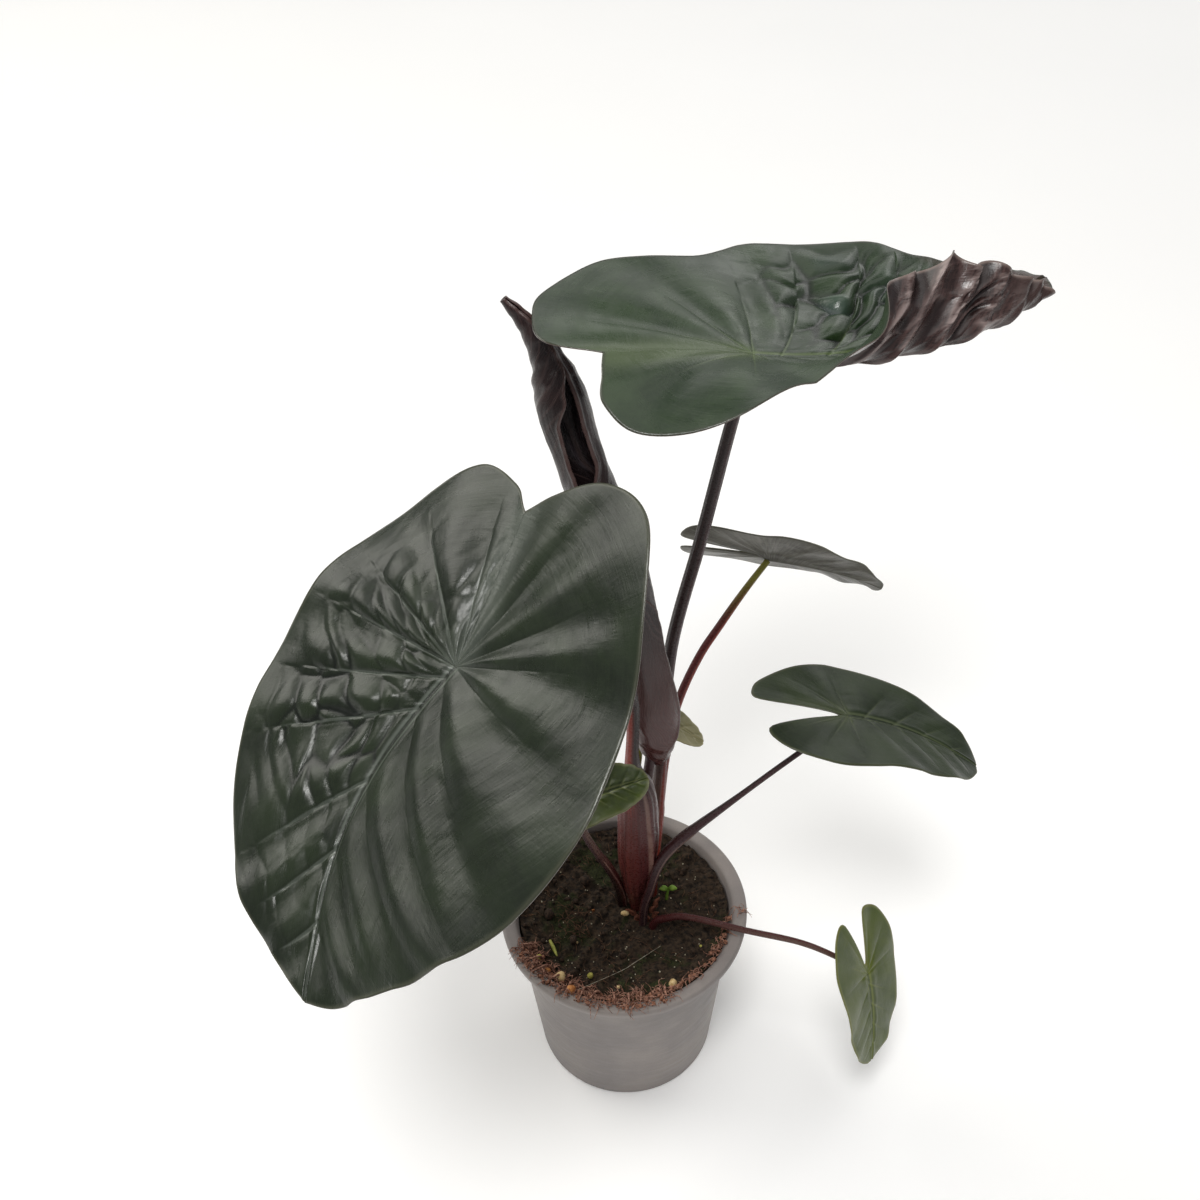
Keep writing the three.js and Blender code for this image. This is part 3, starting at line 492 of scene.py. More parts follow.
def blade_surface(leaf, p, q, side, shift=0.0):
    """Points on the bent blade's middle surface, and the upward directions there, for flat places:
    p along the midrib and q across it, on the left (side 1) or the right (side -1)."""
    middle, along, sweep = midrib_of(leaf)(p)
    across = np.stack([-np.sin(sweep), np.cos(sweep), np.zeros_like(sweep)], -1)
    up = np.cross(along, across)
    slope_at = slope_of(leaf, p, side)
    slopes = [slope_at(q * (step + 0.5) / SLOPE_STEPS) for step in range(SLOPE_STEPS)]
    out = sum(np.cos(slope) for slope in slopes) * q / SLOPE_STEPS
    rise = sum(np.sin(slope) for slope in slopes) * q / SLOPE_STEPS
    point = middle + across * (side * out + shift)[..., None] + up * rise[..., None]
    lean = np.where(q > 0, slope_at(q), 0)
    normal = across * (-side * np.sin(lean))[..., None] + up * np.cos(lean)[..., None]
    turn = turn_of(leaf)
    return point @ turn.T + np.array(leaf["at"]), normal @ turn.T


def list_at(values, places):
    """Values between those of a list at whole places."""
    return np.interp(places, np.arange(len(values)), values)


def blade_rows(leaf, side):
    """Rows of one half of the blade, from the tip to the notch: their vein numbers, how far each counts
    as inside the half, where they start on the midrib, and where they end on the margin."""
    word = half_word(side)
    width = leaf["half"] * leaf.get(f"{word}_width", 1)
    outline = leaf[f"{word}_outline"]
    corners = [(p * leaf["length" if p > 0 else "lobes"], q * width) for p, q in outline]
    corners.append((-leaf["notch"], 0))
    ends = leaf[f"{word}_ends"]
    share = np.arange(-leaf["rows"] // 2, leaf["rows"] // 2) / leaf["rows"]
    share = np.sign(share) * np.abs(2 * share) ** 1.3 / 2
    vein = (np.arange(len(ends))[:, None] + share).ravel()
    vein = vein[(vein > 0.01) & (vein < len(ends) - 1.01)]
    vein = np.concatenate([[0], vein, [len(ends) - 1]])
    margin = spline_at(corners, list_at(ends, vein))
    fade = np.clip(np.minimum(vein, len(ends) - 1 - vein), 0, 1)
    shift = np.stack([noise(vein * 2.2, side * 3, seed) for seed in (41, 42)], -1)
    margin = margin + leaf["uneven"] * fade[:, None] * shift
    for middle, reach, height in leaf.get(f"{word}_peaks", ()):
        margin[:, 1] += height * bell(margin[:, 0] - middle, reach)
    start = leaf["length"] * list_at(leaf["vein_starts"], vein)
    return vein, fade, start, margin[:, 0], np.maximum(margin[:, 1], 0)


def vein_spacing(p, q, vein):
    """Distance in mm between neighbouring main side veins at each place of a grid."""
    step = np.gradient(vein[:, 0])[:, None]
    across_p, across_q = np.gradient(p, axis=0) / step, np.gradient(q, axis=0) / step
    along_p, along_q = np.gradient(p, axis=1), np.gradient(q, axis=1)
    length = np.maximum(np.hypot(along_p, along_q), TINY)
    return np.abs(across_p * along_q - across_q * along_p) / length


def blade_places(leaf, side):
    """Flat places of one half of the blade, in rows that run out to the margin: p along the midrib and
    q across it, the vein number, the share v of the row, and distances in mm."""
    v = (np.arange(leaf["columns"] + 1) / leaf["columns"])[None, :] ** 1.15
    vein, fade, start, end_p, end_q = (values[:, None] for values in blade_rows(leaf, side))
    ahead = end_p - start
    p = start + ahead * v + leaf["vein_arch"] * v * (1 - v) * np.maximum(0, ahead)
    q = end_q * v
    vein, fade, v = (np.broadcast_to(values, p.shape) for values in (vein, fade, v))
    spacing = vein_spacing(p, q, vein)
    return SimpleNamespace(
        side=side, p=p, q=q, v=v, vein=vein, fade=fade, spacing=spacing,
        off_vein=np.abs(vein - np.round(vein)) * spacing,
        reach=np.hypot(p - start, q),
        to_margin=np.hypot(end_p - p, end_q - q),
        inner=np.minimum(1, 6 * v),
        blistered=blister_strength(leaf, side, p, q),
    )


def broad_relief(leaf, at):
    """Quilting between the side veins, and the waves, droop and ruffle of the margin, in mm."""
    word = half_word(at.side)
    pucker = np.abs(np.sin(np.pi * at.vein)) ** leaf["valley"] - 0.5
    lively = np.minimum(1, leaf["calm"] + at.blistered)
    raised = leaf["quilt"] * pucker * at.fade * at.inner * (1 - smooth(at.v, 0.4, 1)) * lively
    raised = raised + leaf["wave"] * at.fade * at.v**4 * np.cos(np.pi * at.vein + at.side)
    raised = raised - leaf.get(f"{word}_droop", 0) * at.fade * np.maximum(0, (at.v - 0.55) / 0.45) ** 2
    ruffle = leaf.get(f"{word}_ruffle", 0) * at.fade * at.v**5 * smooth(at.p, 15, 50)
    ruffle = ruffle * smooth(leaf["length"] - at.p, 5, 30)
    return raised + ruffle * (np.sin(2.3 * np.pi * at.vein) + 0.8 * noise(at.vein * 2.1, at.v * 2, 23))


def blade_grid(leaf, side):
    """One half of the fine blade: grids of upper and lower points, and what the material reads."""
    at = blade_places(leaf, side)
    p, q, v, fade, off_vein = at.p, at.q, at.v, at.fade, at.off_vein
    bow = leaf.get("bow", 0) * np.sin(np.pi * np.clip(p / leaf["length"], 0, 1)) * (1 - v * v)
    point, normal = blade_surface(leaf, p, q, side, bow)
    detail, crease = fine_relief(leaf, at)
    relief = broad_relief(leaf, at) + detail * at.inner
    line = leaf[f"{half_word(side)}_line"] * np.clip(1 - v, 0, 1) ** 1.2 * np.minimum(1, fade * 3)
    side_vein = bell(off_vein, VEIN_WIDTH) * line
    midrib_width = 0.5 + 1.0 * smooth(leaf["length"] - p, 0, leaf["length"])
    midrib = bell(q, midrib_width) * (p > 0)
    groove = VEIN_GROOVE * side_vein + MIDRIB_GROOVE * midrib
    shoulder = VEIN_SHOULDER * bell(off_vein - 1.5, 0.8) * line
    shoulder = shoulder + MIDRIB_SHOULDER * bell(q - 2.2 * midrib_width, midrib_width) * (p > 0)
    size = smooth(leaf["length"] - p, 0, 0.9 * leaf["length"])
    keel = leaf["keel"] * size * bell(q, KEEL_WIDTH) * smooth(p, -8, 2)
    rib = leaf["rib"] * bell(off_vein, RIB_WIDTH) * fade * (1 - v)
    thin = BLADE / 2 * (1 - 0.45 * v**8)
    upper = point + normal * (relief + shoulder + thin - groove)[..., None]
    lower = point + normal * (relief - thin - np.maximum(keel, rib))[..., None]
    facts = dict(
        flat=np.stack([p, q * side, at.vein], -1),
        run=np.stack([at.reach, at.vein + 20 * side, off_vein], -1),
        vein=side_vein,
        midrib=midrib,
        seam=bell(q, SEAM_WIDTH) * smooth(-p, -6, 2),
        rim=np.exp(-at.to_margin / RIM_WIDTH),
        relief=relief,
        crease=crease,
        blistered=at.blistered,
    )
    return upper, lower, facts


def blisters(x, y, seed):
    """Rounded blisters, one for each unit of a plane: 0 in the creases between them, up to 1 on top."""
    spots = np.random.default_rng(seed).uniform(0.1, 0.9, (NOISE_CELLS, NOISE_CELLS, 3))
    low_x, low_y = np.floor(x).astype(int), np.floor(y).astype(int)
    first = np.full(x.shape, 9.0)
    second, height = first.copy(), np.zeros(x.shape)
    for i in (-1, 0, 1):
        for j in (-1, 0, 1):
            spot = spots[(low_x + i) % NOISE_CELLS, (low_y + j) % NOISE_CELLS]
            distance = np.hypot(low_x + i + spot[..., 0] - x, low_y + j + spot[..., 1] - y)
            nearer = distance < first
            second = np.where(nearer, first, np.minimum(second, distance))
            height = np.where(nearer, 0.35 + 0.65 * spot[..., 2], height)
            first = np.where(nearer, distance, first)
    return height * (1 - (1 - np.clip((second - first) / 0.8, 0, 1)) ** 2)


def fine_relief(leaf, at):
    """Blisters between the cross veins, broad folds and fine streaks, in mm, and where the creases are."""
    p, q, side = at.p, at.q, at.side
    between = at.vein - np.floor(at.vein)
    warp = 0.5 * noise(p / 16 + 5, q / 16 + 3 * side, 11)
    slant = 0.8 * (between - 0.5) * leaf["slant"]
    along = at.reach / leaf["blister_size"] + warp + slant
    domes = blisters(along, at.vein * 1.2 + 0.4 * warp + 7 * side, 17)
    where = at.blistered * np.clip(at.spacing / 16, 0.15, 1)
    swell = 0.5 * noise(p / 21, side * q / 21, 12) + 0.2 * noise(p / 8, side * q / 8, 13)
    edge = np.clip(1 - at.v**4, 0, 1)
    streaks = 0.05 * noise(at.reach / 1.3, at.vein * 7, 19) * smooth(at.v, 0.35, 0.7) * edge
    folds = np.sin(2 * np.pi * between) + 0.7 * noise(p / 31, side * q / 31 + 4, 21)
    folds = folds * leaf["folds"] * np.sin(np.pi * np.clip(at.v, 0, 1)) ** 0.7
    folds = folds * np.clip(at.spacing / 24, 0.1, 1)
    # Where the creases between blisters are, which the blade's material darkens with painted shade
    crease = bell(domes, 0.2) * np.clip(where / 1.5, 0, 1) * edge
    fine = leaf["quilt"] * (0.4 * swell + streaks)
    return BLISTER_GAIN * where * (domes - 0.4) * edge + folds + fine, crease


def blister_strength(leaf, side, p, q):
    """How strongly the blade is blistered at a flat place, in mm."""
    middle, across, reach, height = leaf[f"{half_word(side)}_blisters"]
    patchy = 0.75 + 0.5 * noise(p / 14, q / 14, 15)
    return height * bell(np.hypot(p - middle, q - across), reach) * patchy


def join(left, right):
    """A whole grid from its left and right halves, which share the midrib."""
    return np.concatenate([left[:, ::-1], right[:, 1:]], axis=1)


def sheet_faces(rows, columns):
    """Faces of a solid sheet between two grids of points, with a rim all round it."""
    at = np.arange(rows * columns).reshape(rows, columns)
    top = np.stack([at[:-1, :-1], at[1:, :-1], at[1:, 1:], at[:-1, 1:]], -1).reshape(-1, 4)
    bottom = top[:, ::-1] + rows * columns
    edge = np.concatenate([at[:, 0], at[-1, 1:], at[-2::-1, -1], at[0, -2:0:-1]])
    after = np.roll(edge, -1)
    rim = np.stack([after, edge, edge + rows * columns, after + rows * columns], -1)
    return np.vstack([top, bottom, rim])


def new_mesh(name, points, faces):
    """A mesh from points in mm."""
    mesh = bpy.data.meshes.new(name)
    mesh.from_pydata((points * MM).tolist(), [], [list(map(int, face)) for face in faces])
    return mesh


def new_object(name, data):
    """An object of the scene with this mesh, camera or light."""
    thing = bpy.data.objects.new(name, data)
    bpy.context.scene.collection.objects.link(thing)
    return thing


def add_piece(name, points, faces, material, nodes=(), facts=None):
    """A mesh piece from points in mm, which rides on the plant's body and may stand for CAD nodes."""
    mesh = new_mesh(name, points, faces)
    for fact, values in (facts or {}).items():
        values = np.asarray(values, np.float32)
        kind, field = ("FLOAT_VECTOR", "vector") if values.ndim > 1 else ("FLOAT", "value")
        mesh.attributes.new(fact, kind, "POINT").data.foreach_set(field, values.ravel())
    mesh.validate(clean_customdata=False)
    mesh.polygons.foreach_set("use_smooth", [True] * len(mesh.polygons))
    mesh.materials.append(material)
    piece = new_object(name, mesh)
    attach(piece, "root")
    if nodes:
        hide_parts(*nodes)
    return piece


def add_sheet(name, upper, lower, facts, material, node):
    """A thin solid piece between two grids of points."""
    rows, columns = upper.shape[:2]
    count = rows * columns
    both = {}
    for fact, values in facts.items():
        flat = values.reshape(count, -1)
        both[fact] = np.squeeze(np.vstack([flat, flat]))
    both["under"] = np.repeat([0.0, 1.0], count)
    points = np.vstack([upper.reshape(-1, 3), lower.reshape(-1, 3)])
    add_piece(name, points, sheet_faces(rows, columns), material, [node], both)


def add_blade(name, material):
    left, right = (blade_grid(LEAVES[name], side) for side in (1, -1))
    facts = {fact: join(left[2][fact], right[2][fact]) for fact in left[2]}
    upper, lower = join(left[0], right[0]), join(left[1], right[1])
    add_sheet(f"blade_{name}", upper, lower, facts, material, f"leaf_{name}")


def body_end(t):
    """1 along the scroll, falling to 0 at its two ends."""
    return smooth(t, 0, 0.12) * smooth(1 - t, 0, 0.05)


def scroll_places():
    """Places of the scroll's sheet: share t along it, share of its turns, angle, radius and arc in mm."""
    t = np.linspace(0, 1, SCROLL_ROWS + 1)[:, None]
    share = np.linspace(-1, 1, SCROLL_COLUMNS + 1)[None, :]
    share = 0.5 + 0.5 * np.sign(share) * (1 - (1 - np.abs(share)) ** 1.25)
    inner, outer = table_at(SCROLL_INNER, t), table_at(SCROLL_OUTER, t)
    angle = inner + (outer - inner) * share
    spacing = SCROLL_SPACING * smooth(t, 0, 0.2)
    radius = table_at(SCROLL_RADIUS, t) - spacing * (outer - angle) / 360
    arc = np.radians(outer - inner) * radius
    t, share = np.broadcast_to(t, angle.shape), np.broadcast_to(share, angle.shape)
    return t, share, angle, radius, arc


def scroll_relief(t, share, rib, place, edge):
    """Ribs, creases and fine strips in mm, which fade towards the margin, and ripples of the margin."""
    ridge = np.abs(np.sin(np.pi * rib)) ** 0.6
    strips = noise(place / 1.7, t * 9, 5) + 0.6 * noise(place / 0.8, t * 14, 6)
    creases = noise(place / 5 + 3 * t, t * 4, 9)
    relief = 0.12 * (0.5 - ridge) + 0.5 * creases + 0.25 * noise(t * 20, place / 9, 4) + 0.1 * strips
    ripples = 0.35 * noise(t * 60, share * 3, 8) * (1 - smooth(edge, 0, 3))
    return (relief * smooth(edge, 0.5, 5) + ripples) * body_end(t)


def add_scroll(material):
    """The rolled young leaf: a sheet wound round its axis, open towards the front in the middle.
    Its ribs fan out from the line half way round, and its margin is rolled into a bead."""
    t, share, angle, radius, arc = scroll_places()
    middle, along = spline_at(SCROLL_AXIS, t[:, 0]), direction_at(SCROLL_AXIS, t[:, 0])
    right = unit(np.array([1, 0, 0]) - along * along[:, :1])
    front = -np.cross(right, along)
    turn = np.radians(angle)[..., None]
    away = front[:, None] * np.cos(turn) + right[:, None] * np.sin(turn)
    half = np.abs(share - 0.5)
    place, edge = share * arc, np.minimum(share, 1 - share) * arc
    rib = 22 * t + half * (9 - 16 * smooth(t, 0.6, 0.95)) + 40
    relief = scroll_relief(t, share, rib, place, edge)
    bead = 0.55 * bell(edge - 0.9, 0.8) * body_end(t)
    thick = BLADE * (1 - 0.35 * (1 - smooth(edge, 0, 2)))
    outside = middle[:, None] + away * (radius + relief + bead)[..., None]
    inside = middle[:, None] + away * (radius + relief - thick - bead * 0.6)[..., None]
    lengthwise = t * SCROLL_LENGTH
    facts = dict(
        flat=np.stack([lengthwise, place, place / 6], -1),
        run=np.stack([lengthwise, place, 0 * rib], -1),
        vein=bell(rib - np.round(rib), 0.07) * smooth(half, 0, 0.1),
        midrib=bell(half * arc, 1.2),
        rim=bell(edge, 1.5),
        relief=relief * 2,
        crease=0 * relief,
        blistered=0 * relief,
    )
    add_sheet("rolled_blade", outside, inside, facts, material, "leaf_rolled")


def stalk_route(name):
    """A stalk's route, ending just under its leaf's joint."""
    route = list(STALKS[name]["route"])
    if name in LEAVES:
        zero = np.zeros((1, 1))
        point, normal = blade_surface(LEAVES[name], zero, zero, 1, zero)
        route.append(tuple((point - SOCKET_DEPTH * normal)[0, 0]))
    return route


def ring_faces(rings, sides):
    """Faces of a closed body of rings of points, whose two end points follow the rings."""
    at = np.arange(rings * sides).reshape(rings, sides)
    after = np.roll(at, -1, axis=1)
    faces = [tuple(f) for f in np.stack([at[:-1], after[:-1], after[1:], at[1:]], -1).reshape(-1, 4)]
    first, last = rings * sides, rings * sides + 1
    faces += [(first, after[0, k], at[0, k]) for k in range(sides)]
    faces += [(last, at[-1, k], after[-1, k]) for k in range(sides)]
    return faces


def tube(route, radii, sides, steps, shape=None):
    """Points and faces of a tapering tube with rounded ends."""
    t = np.linspace(0, 1, steps + 1)
    middle, along = spline_at(route, t), direction_at(route, t)
    across = np.zeros_like(along)
    vector = np.array([1.0, 0, 0])
    for k in range(steps + 1):
        vector = unit(vector - along[k] * (vector @ along[k]))
        across[k] = vector
    other = np.cross(along, across)
    radius = spline_at(np.array(radii, float)[:, None], t)
    angle = full_turn(sides)[None, :]
    reach = radius * (1 + (shape(t[:, None], angle) if shape else 0 * angle))
    x, y = turned(reach[..., None], angle[..., None])
    ring = middle[:, None] + across[:, None] * x + other[:, None] * y
    foot = middle[0] - along[0] * 0.4 * radius[0]
    top = middle[-1] + along[-1] * 0.5 * radius[-1]
    return np.vstack([ring.reshape(-1, 3), foot, top]), ring_faces(steps + 1, sides)


def tube_places(sides, steps):
    """How far along a tube each of its points is, from 0 to 1, and its angle round the tube."""
    along = np.concatenate([np.repeat(np.linspace(0, 1, steps + 1), sides), [0, 1]])
    return along, np.concatenate([np.tile(full_turn(sides), steps + 1), [0, 0]])


def past_lip(stalk, t, angle):
    """How far round a place lies past the free edge of the stalk's sheath, from 0 to 1."""
    low, high = stalk["lip"]
    lip = np.radians(low + (high - low) * smooth(t, 0, stalk["sheath"]))
    return np.mod(angle - lip, 2 * np.pi) / (2 * np.pi)


def add_stalk(name, material):
    """A stalk with fine ribs; a sheath at its foot wraps round it once and steps down at its free edge."""
    stalk = STALKS[name]
    route = stalk_route(name)

    def ridges(t, angle):
        ribs = 0.02 * np.cos(9 * angle + 3 * t) + 0.02 * noise(angle * 2, t * 20, 31)
        if "lip" not in stalk:
            return ribs
        end = stalk["sheath"]
        wrap = 0.13 * (0.5 - past_lip(stalk, t, angle)) + 0.02 * np.cos(17 * angle)
        wrap = wrap * (1 - smooth(t, end - 0.02, end))
        return ribs + wrap + 0.06 * smooth(t, end - 0.1, end) * (t < end)

    sides = 72 if "lip" in stalk else 32
    steps = (len(route) - 1) * 14
    points, faces = tube(route, stalk["radii"][: len(route)], sides, steps, ridges)
    length, around = tube_places(sides, steps)
    lip = np.zeros(len(length))
    if "lip" in stalk:
        past = past_lip(stalk, length, around)
        lip = bell(np.minimum(past, 1 - past), 0.018) + 0.12 * (past > 0.82)
        lip = lip * (length < stalk["sheath"])
    facts = dict(along=length, around=around, lip=lip)
    add_piece(f"petiole_{name}", points, faces, material, [f"stalk_{name}"], facts)


# Materials


def colour(red, green, blue):
    """A colour from 0 to 255 in ordinary screen values, as Blender's nodes want it."""
    values = [c / 255 for c in (red, green, blue)]
    return tuple(c / 12.92 if c <= 0.04045 else ((c + 0.055) / 1.055) ** 2.4 for c in values) + (1.0,)


class Nodes:
    """The node tree of one material, with short calls for the nodes used here."""

    def __init__(self, name):
        self.material = bpy.data.materials.new(name)
        self.material.use_nodes = True
        self.tree = self.material.node_tree
        self.shader = self.tree.nodes["Principled BSDF"]

    def put(self, value, socket):
        if isinstance(value, bpy.types.NodeSocket):
            self.tree.links.new(value, socket)
        else:
            socket.default_value = value

    def add(self, kind, **inputs):
        node = self.tree.nodes.new(kind)
        for name, value in inputs.items():
            self.put(value, node.inputs[name.replace("_", " ")])
        return node

    def fact(self, name, output="Fac"):
        """What the mesh says at each point under this name."""
        node = self.tree.nodes.new("ShaderNodeAttribute")
        node.attribute_name = name
        return node.outputs[output]

    def place(self, scale=(1, 1, 1), source=None):
        """Coordinates in mm, stretched by scale."""
        if source is None:
            source = self.tree.nodes.new("ShaderNodeTexCoord").outputs["Object"]
            scale = tuple(s / MM for s in scale)
        return self.add("ShaderNodeMapping", Vector=source, Scale=scale).outputs["Vector"]

    def noise(self, place, scale, detail=3.0, rough=0.55, distortion=0.0):
        inputs = dict(Vector=place, Scale=scale, Detail=detail, Roughness=rough, Distortion=distortion)
        return self.add("ShaderNodeTexNoise", **inputs).outputs["Fac"]

    def ramp(self, value, low, high, to_low=0.0, to_high=1.0):
        """A smooth step from to_low, where the value is low, to to_high, where it is high."""
        inputs = dict(Value=value, From_Min=low, From_Max=high, To_Min=to_low, To_Max=to_high)
        node = self.add("ShaderNodeMapRange", **inputs)
        node.interpolation_type = "SMOOTHSTEP"
        return node.outputs["Result"]

    def band(self, value, low, full, still, high, most=1.0):
        """Most where the value is from full to still, and 0 below low and above high."""
        rise = self.ramp(value, low, full, 0.0, most)
        return self.times(rise, self.ramp(value, still, high, 1.0, 0.0))

    def math(self, operation, a, b=0.0):
        node = self.tree.nodes.new("ShaderNodeMath")
        node.operation = operation
        self.put(a, node.inputs[0])
        self.put(b, node.inputs[1])
        return node.outputs[0]

    def times(self, a, b):
        return self.math("MULTIPLY", a, b)

    def plus(self, a, b):
        return self.math("ADD", a, b)

    def mix(self, share, a, b):
        """A colour from a, where the share is 0, to b. A Mix node has other sockets for other data."""
        node = self.tree.nodes.new("ShaderNodeMix")
        node.data_type = "RGBA"
        for value, number in ((share, 0), (a, 6), (b, 7)):
            self.put(value, node.inputs[number])
        return node.outputs[2]

    def bump(self, height, distance, strength=1.0):
        """A bump whose full height is distance, in mm."""
        node = self.add("ShaderNodeBump", Height=height, Strength=strength, Distance=distance * MM)
        return node.outputs["Normal"]

    def finish(self, base, rough, specular, **settings):
        settings.update(Base_Color=base, Roughness=rough, Specular_IOR_Level=specular)
        for name, value in settings.items():
            self.put(value, self.shader.inputs[name.replace("_", " ")])
        return self.material


def leaf_fields(n):
    """What the looks of a blade read: facts of its mesh, and noises that run along and across its veins."""
    flat, run = n.fact("flat", "Vector"), n.fact("run", "Vector")
    vein, midrib = n.fact("vein"), n.fact("midrib")
    return SimpleNamespace(
        vein=vein,
        midrib=midrib,
        lines=n.math("MAXIMUM", vein, midrib),
        relief=n.fact("relief"),
        blistered=n.fact("blistered"),
        under=n.fact("under"),
        along=n.add("ShaderNodeSeparateXYZ", Vector=flat).outputs["X"],
        broad=n.noise(flat, 0.035, 4, 0.6, 0.4),
        fine=n.noise(flat, 0.5, 5, 0.65),
        streaks=n.noise(n.place((0.12, 0.12, 14), flat), 1.0, 5, 0.7),
        cross=n.noise(n.place((0.9, 1.6, 0), run), 1.0, 4, 0.65),
        patches=n.noise(n.place((0.09, 0.8, 0), run), 1.0, 4, 0.7),
    )


def upper_face(n, at, dark, light, line):
    """Mottled green, with dark sunken veins between pale lines and cross streaks; painted shade in the
    hollows of the relief and in the creases between blisters, and a painted bluish reflection on strong
    blisters.
    """
    face = n.mix(n.ramp(at.broad, 0.35, 0.65), dark, light)
    # Painted shade in the hollows of the relief, in the dark colour
    face = n.mix(n.ramp(at.relief, -0.9, 0.9, 0.45, 0.0), face, dark)
    face = n.mix(n.ramp(at.fine, 0.4, 0.75, 0.0, 0.3), face, light)
    face = n.mix(n.ramp(at.cross, 0.5, 0.75, 0.0, 0.4), face, light)
    face = n.mix(n.ramp(n.fact("seam"), 0.0, 1.0, 0.0, 0.4), face, line)
    # Painted shade in the creases between blisters, in a near black
    face = n.mix(n.ramp(n.fact("crease"), 0.1, 0.9, 0.0, 0.85), face, colour(8, 12, 8))
    face = n.mix(n.band(at.vein, 0.08, 0.35, 0.6, 0.9, 0.45), face, line)
    face = n.mix(n.band(at.midrib, 0.05, 0.4, 0.6, 0.9, 0.7), face, line)
    face = n.mix(n.ramp(at.lines, 0.7, 1.0, 0.0, 0.55), face, dark)
    # Painted bluish reflection on the strongly blistered slopes
    return n.mix(n.ramp(at.blistered, 2.2, 4.5, 0.0, 0.4), face, colour(84, 100, 98))


def under_face(n, at, dark, middle, light, line):
    """Streaked, with painted shade in the hollows, painted highlights on raised patches, and raised veins."""
    face = n.mix(n.ramp(at.streaks, 0.3, 0.7), dark, middle)
    face = n.mix(n.ramp(at.cross, 0.4, 0.7, 0.0, 0.4), face, middle)
    # Painted shade in the hollows of the underside, in the dark colour
    face = n.mix(n.ramp(at.relief, 0.0, 1.6, 0.0, 0.85), face, dark)
    # Painted highlights on the raised patches of the underside, in the light colour
    raised = n.times(n.ramp(at.relief, -1.6, 0.2, 0.8, 0.0), n.ramp(at.patches, 0.42, 0.6))
    face = n.mix(raised, face, light)
    return n.mix(n.ramp(at.lines, 0.2, 0.9, 0.0, 0.6), face, line)


def leaf_material(name, top, under, margin, rough=(0.3, 0.42), gloss=0.5, tail=None):
    """A leaf blade. Top has the upper face's dark colour, also painted as shade in its hollows, its light
    colour and that of its lines; under has the underside's dark colour, also painted as shade in its
    hollows, its middle colour and the colour of the painted highlights on its raised patches; margin has
    one colour for each face.
    A tail is a colour that the blade takes on from one length along it to another."""
    n = Nodes(name)
    at = leaf_fields(n)
    top, under, margin = ([colour(*each) for each in colours] for colours in (top, under, margin))
    base = n.mix(at.under, upper_face(n, at, *top), under_face(n, at, *under, top[-1]))
    if tail:
        brown, start, end = tail
        share = n.times(n.ramp(at.along, start, end), n.ramp(at.patches, 0.2, 0.6, 0.5, 1.0))
        base = n.mix(share, base, colour(*brown))
    base = n.mix(n.ramp(n.fact("rim"), 0.3, 0.8, 0.0, 0.75), base, n.mix(at.under, *margin))
    dullness = n.times(n.ramp(at.patches, 0.35, 0.65, *rough), n.ramp(at.blistered, 1.8, 4.0, 1.0, 0.6))
    height = n.plus(n.plus(n.times(at.streaks, 0.5), n.times(at.fine, 0.25)), n.times(at.cross, 0.5))
    return n.finish(base, dullness, gloss, Normal=n.bump(height, 0.22, 0.8))


def stalk_material(name, foot, top, change=(0.3, 0.7), side=0):
    """A stalk whose colour changes along it, with fine streaks and dots; its sheath has a pale edge.
    Foot and top each have two colours: the shaded side's and the lit side's, at an angle in degrees
    from +X. The lit side is painted light, and partly the stalk's own hue."""
    n = Nodes(name)
    foot, top = ([colour(*each) for each in colours] for colours in (foot, top))
    along, around = n.fact("along"), n.fact("around")
    line = n.add("ShaderNodeCombineXYZ", X=n.times(along, 3.0), Y=n.times(around, 5.0)).outputs[0]
    streaks = n.noise(line, 2.5, 4, 0.6)
    bands = n.noise(line, 0.7, 2, 0.5)
    spots = n.noise(n.place(), 0.9, 4, 0.6)
    share = n.plus(along, n.times(n.math("SUBTRACT", streaks, 0.5), 0.35))
    # Share of the lit side's colour round the stalk: painted light on one side
    lit_side = n.math("COSINE", n.math("SUBTRACT", around, math.radians(side)))
    lit_side = n.ramp(n.plus(lit_side, n.times(n.math("SUBTRACT", bands, 0.5), 0.8)), -0.1, 0.6)
    base = n.mix(n.ramp(share, *change), n.mix(lit_side, *foot), n.mix(lit_side, *top))
    base = n.mix(n.ramp(bands, 0.45, 0.65, 0.0, 0.4), base, colour(34, 16, 16))
    base = n.mix(n.ramp(streaks, 0.55, 0.72, 0.0, 0.25), base, colour(128, 76, 66))
    base = n.mix(n.ramp(spots, 0.5, 0.75, 0.0, 0.15), base, colour(50, 24, 22))
    base = n.mix(n.ramp(n.fact("lip"), 0.25, 1.0, 0.0, 0.45), base, colour(150, 122, 110))
    return n.finish(base, n.ramp(spots, 0.3, 0.7, 0.22, 0.4), 0.22, Normal=n.bump(streaks, 0.3, 0.7))


def plain_material(name, dark, light, scale=0.5, rough=0.7):
    """A natural matter with two mixed colours and a fine grain."""
    n = Nodes(name)
    lumps = n.noise(n.place(), scale, 5, 0.65)
    base = n.mix(n.ramp(lumps, 0.35, 0.65), colour(*dark), colour(*light))
    return n.finish(base, rough, 0.3, Normal=n.bump(lumps, 0.2))


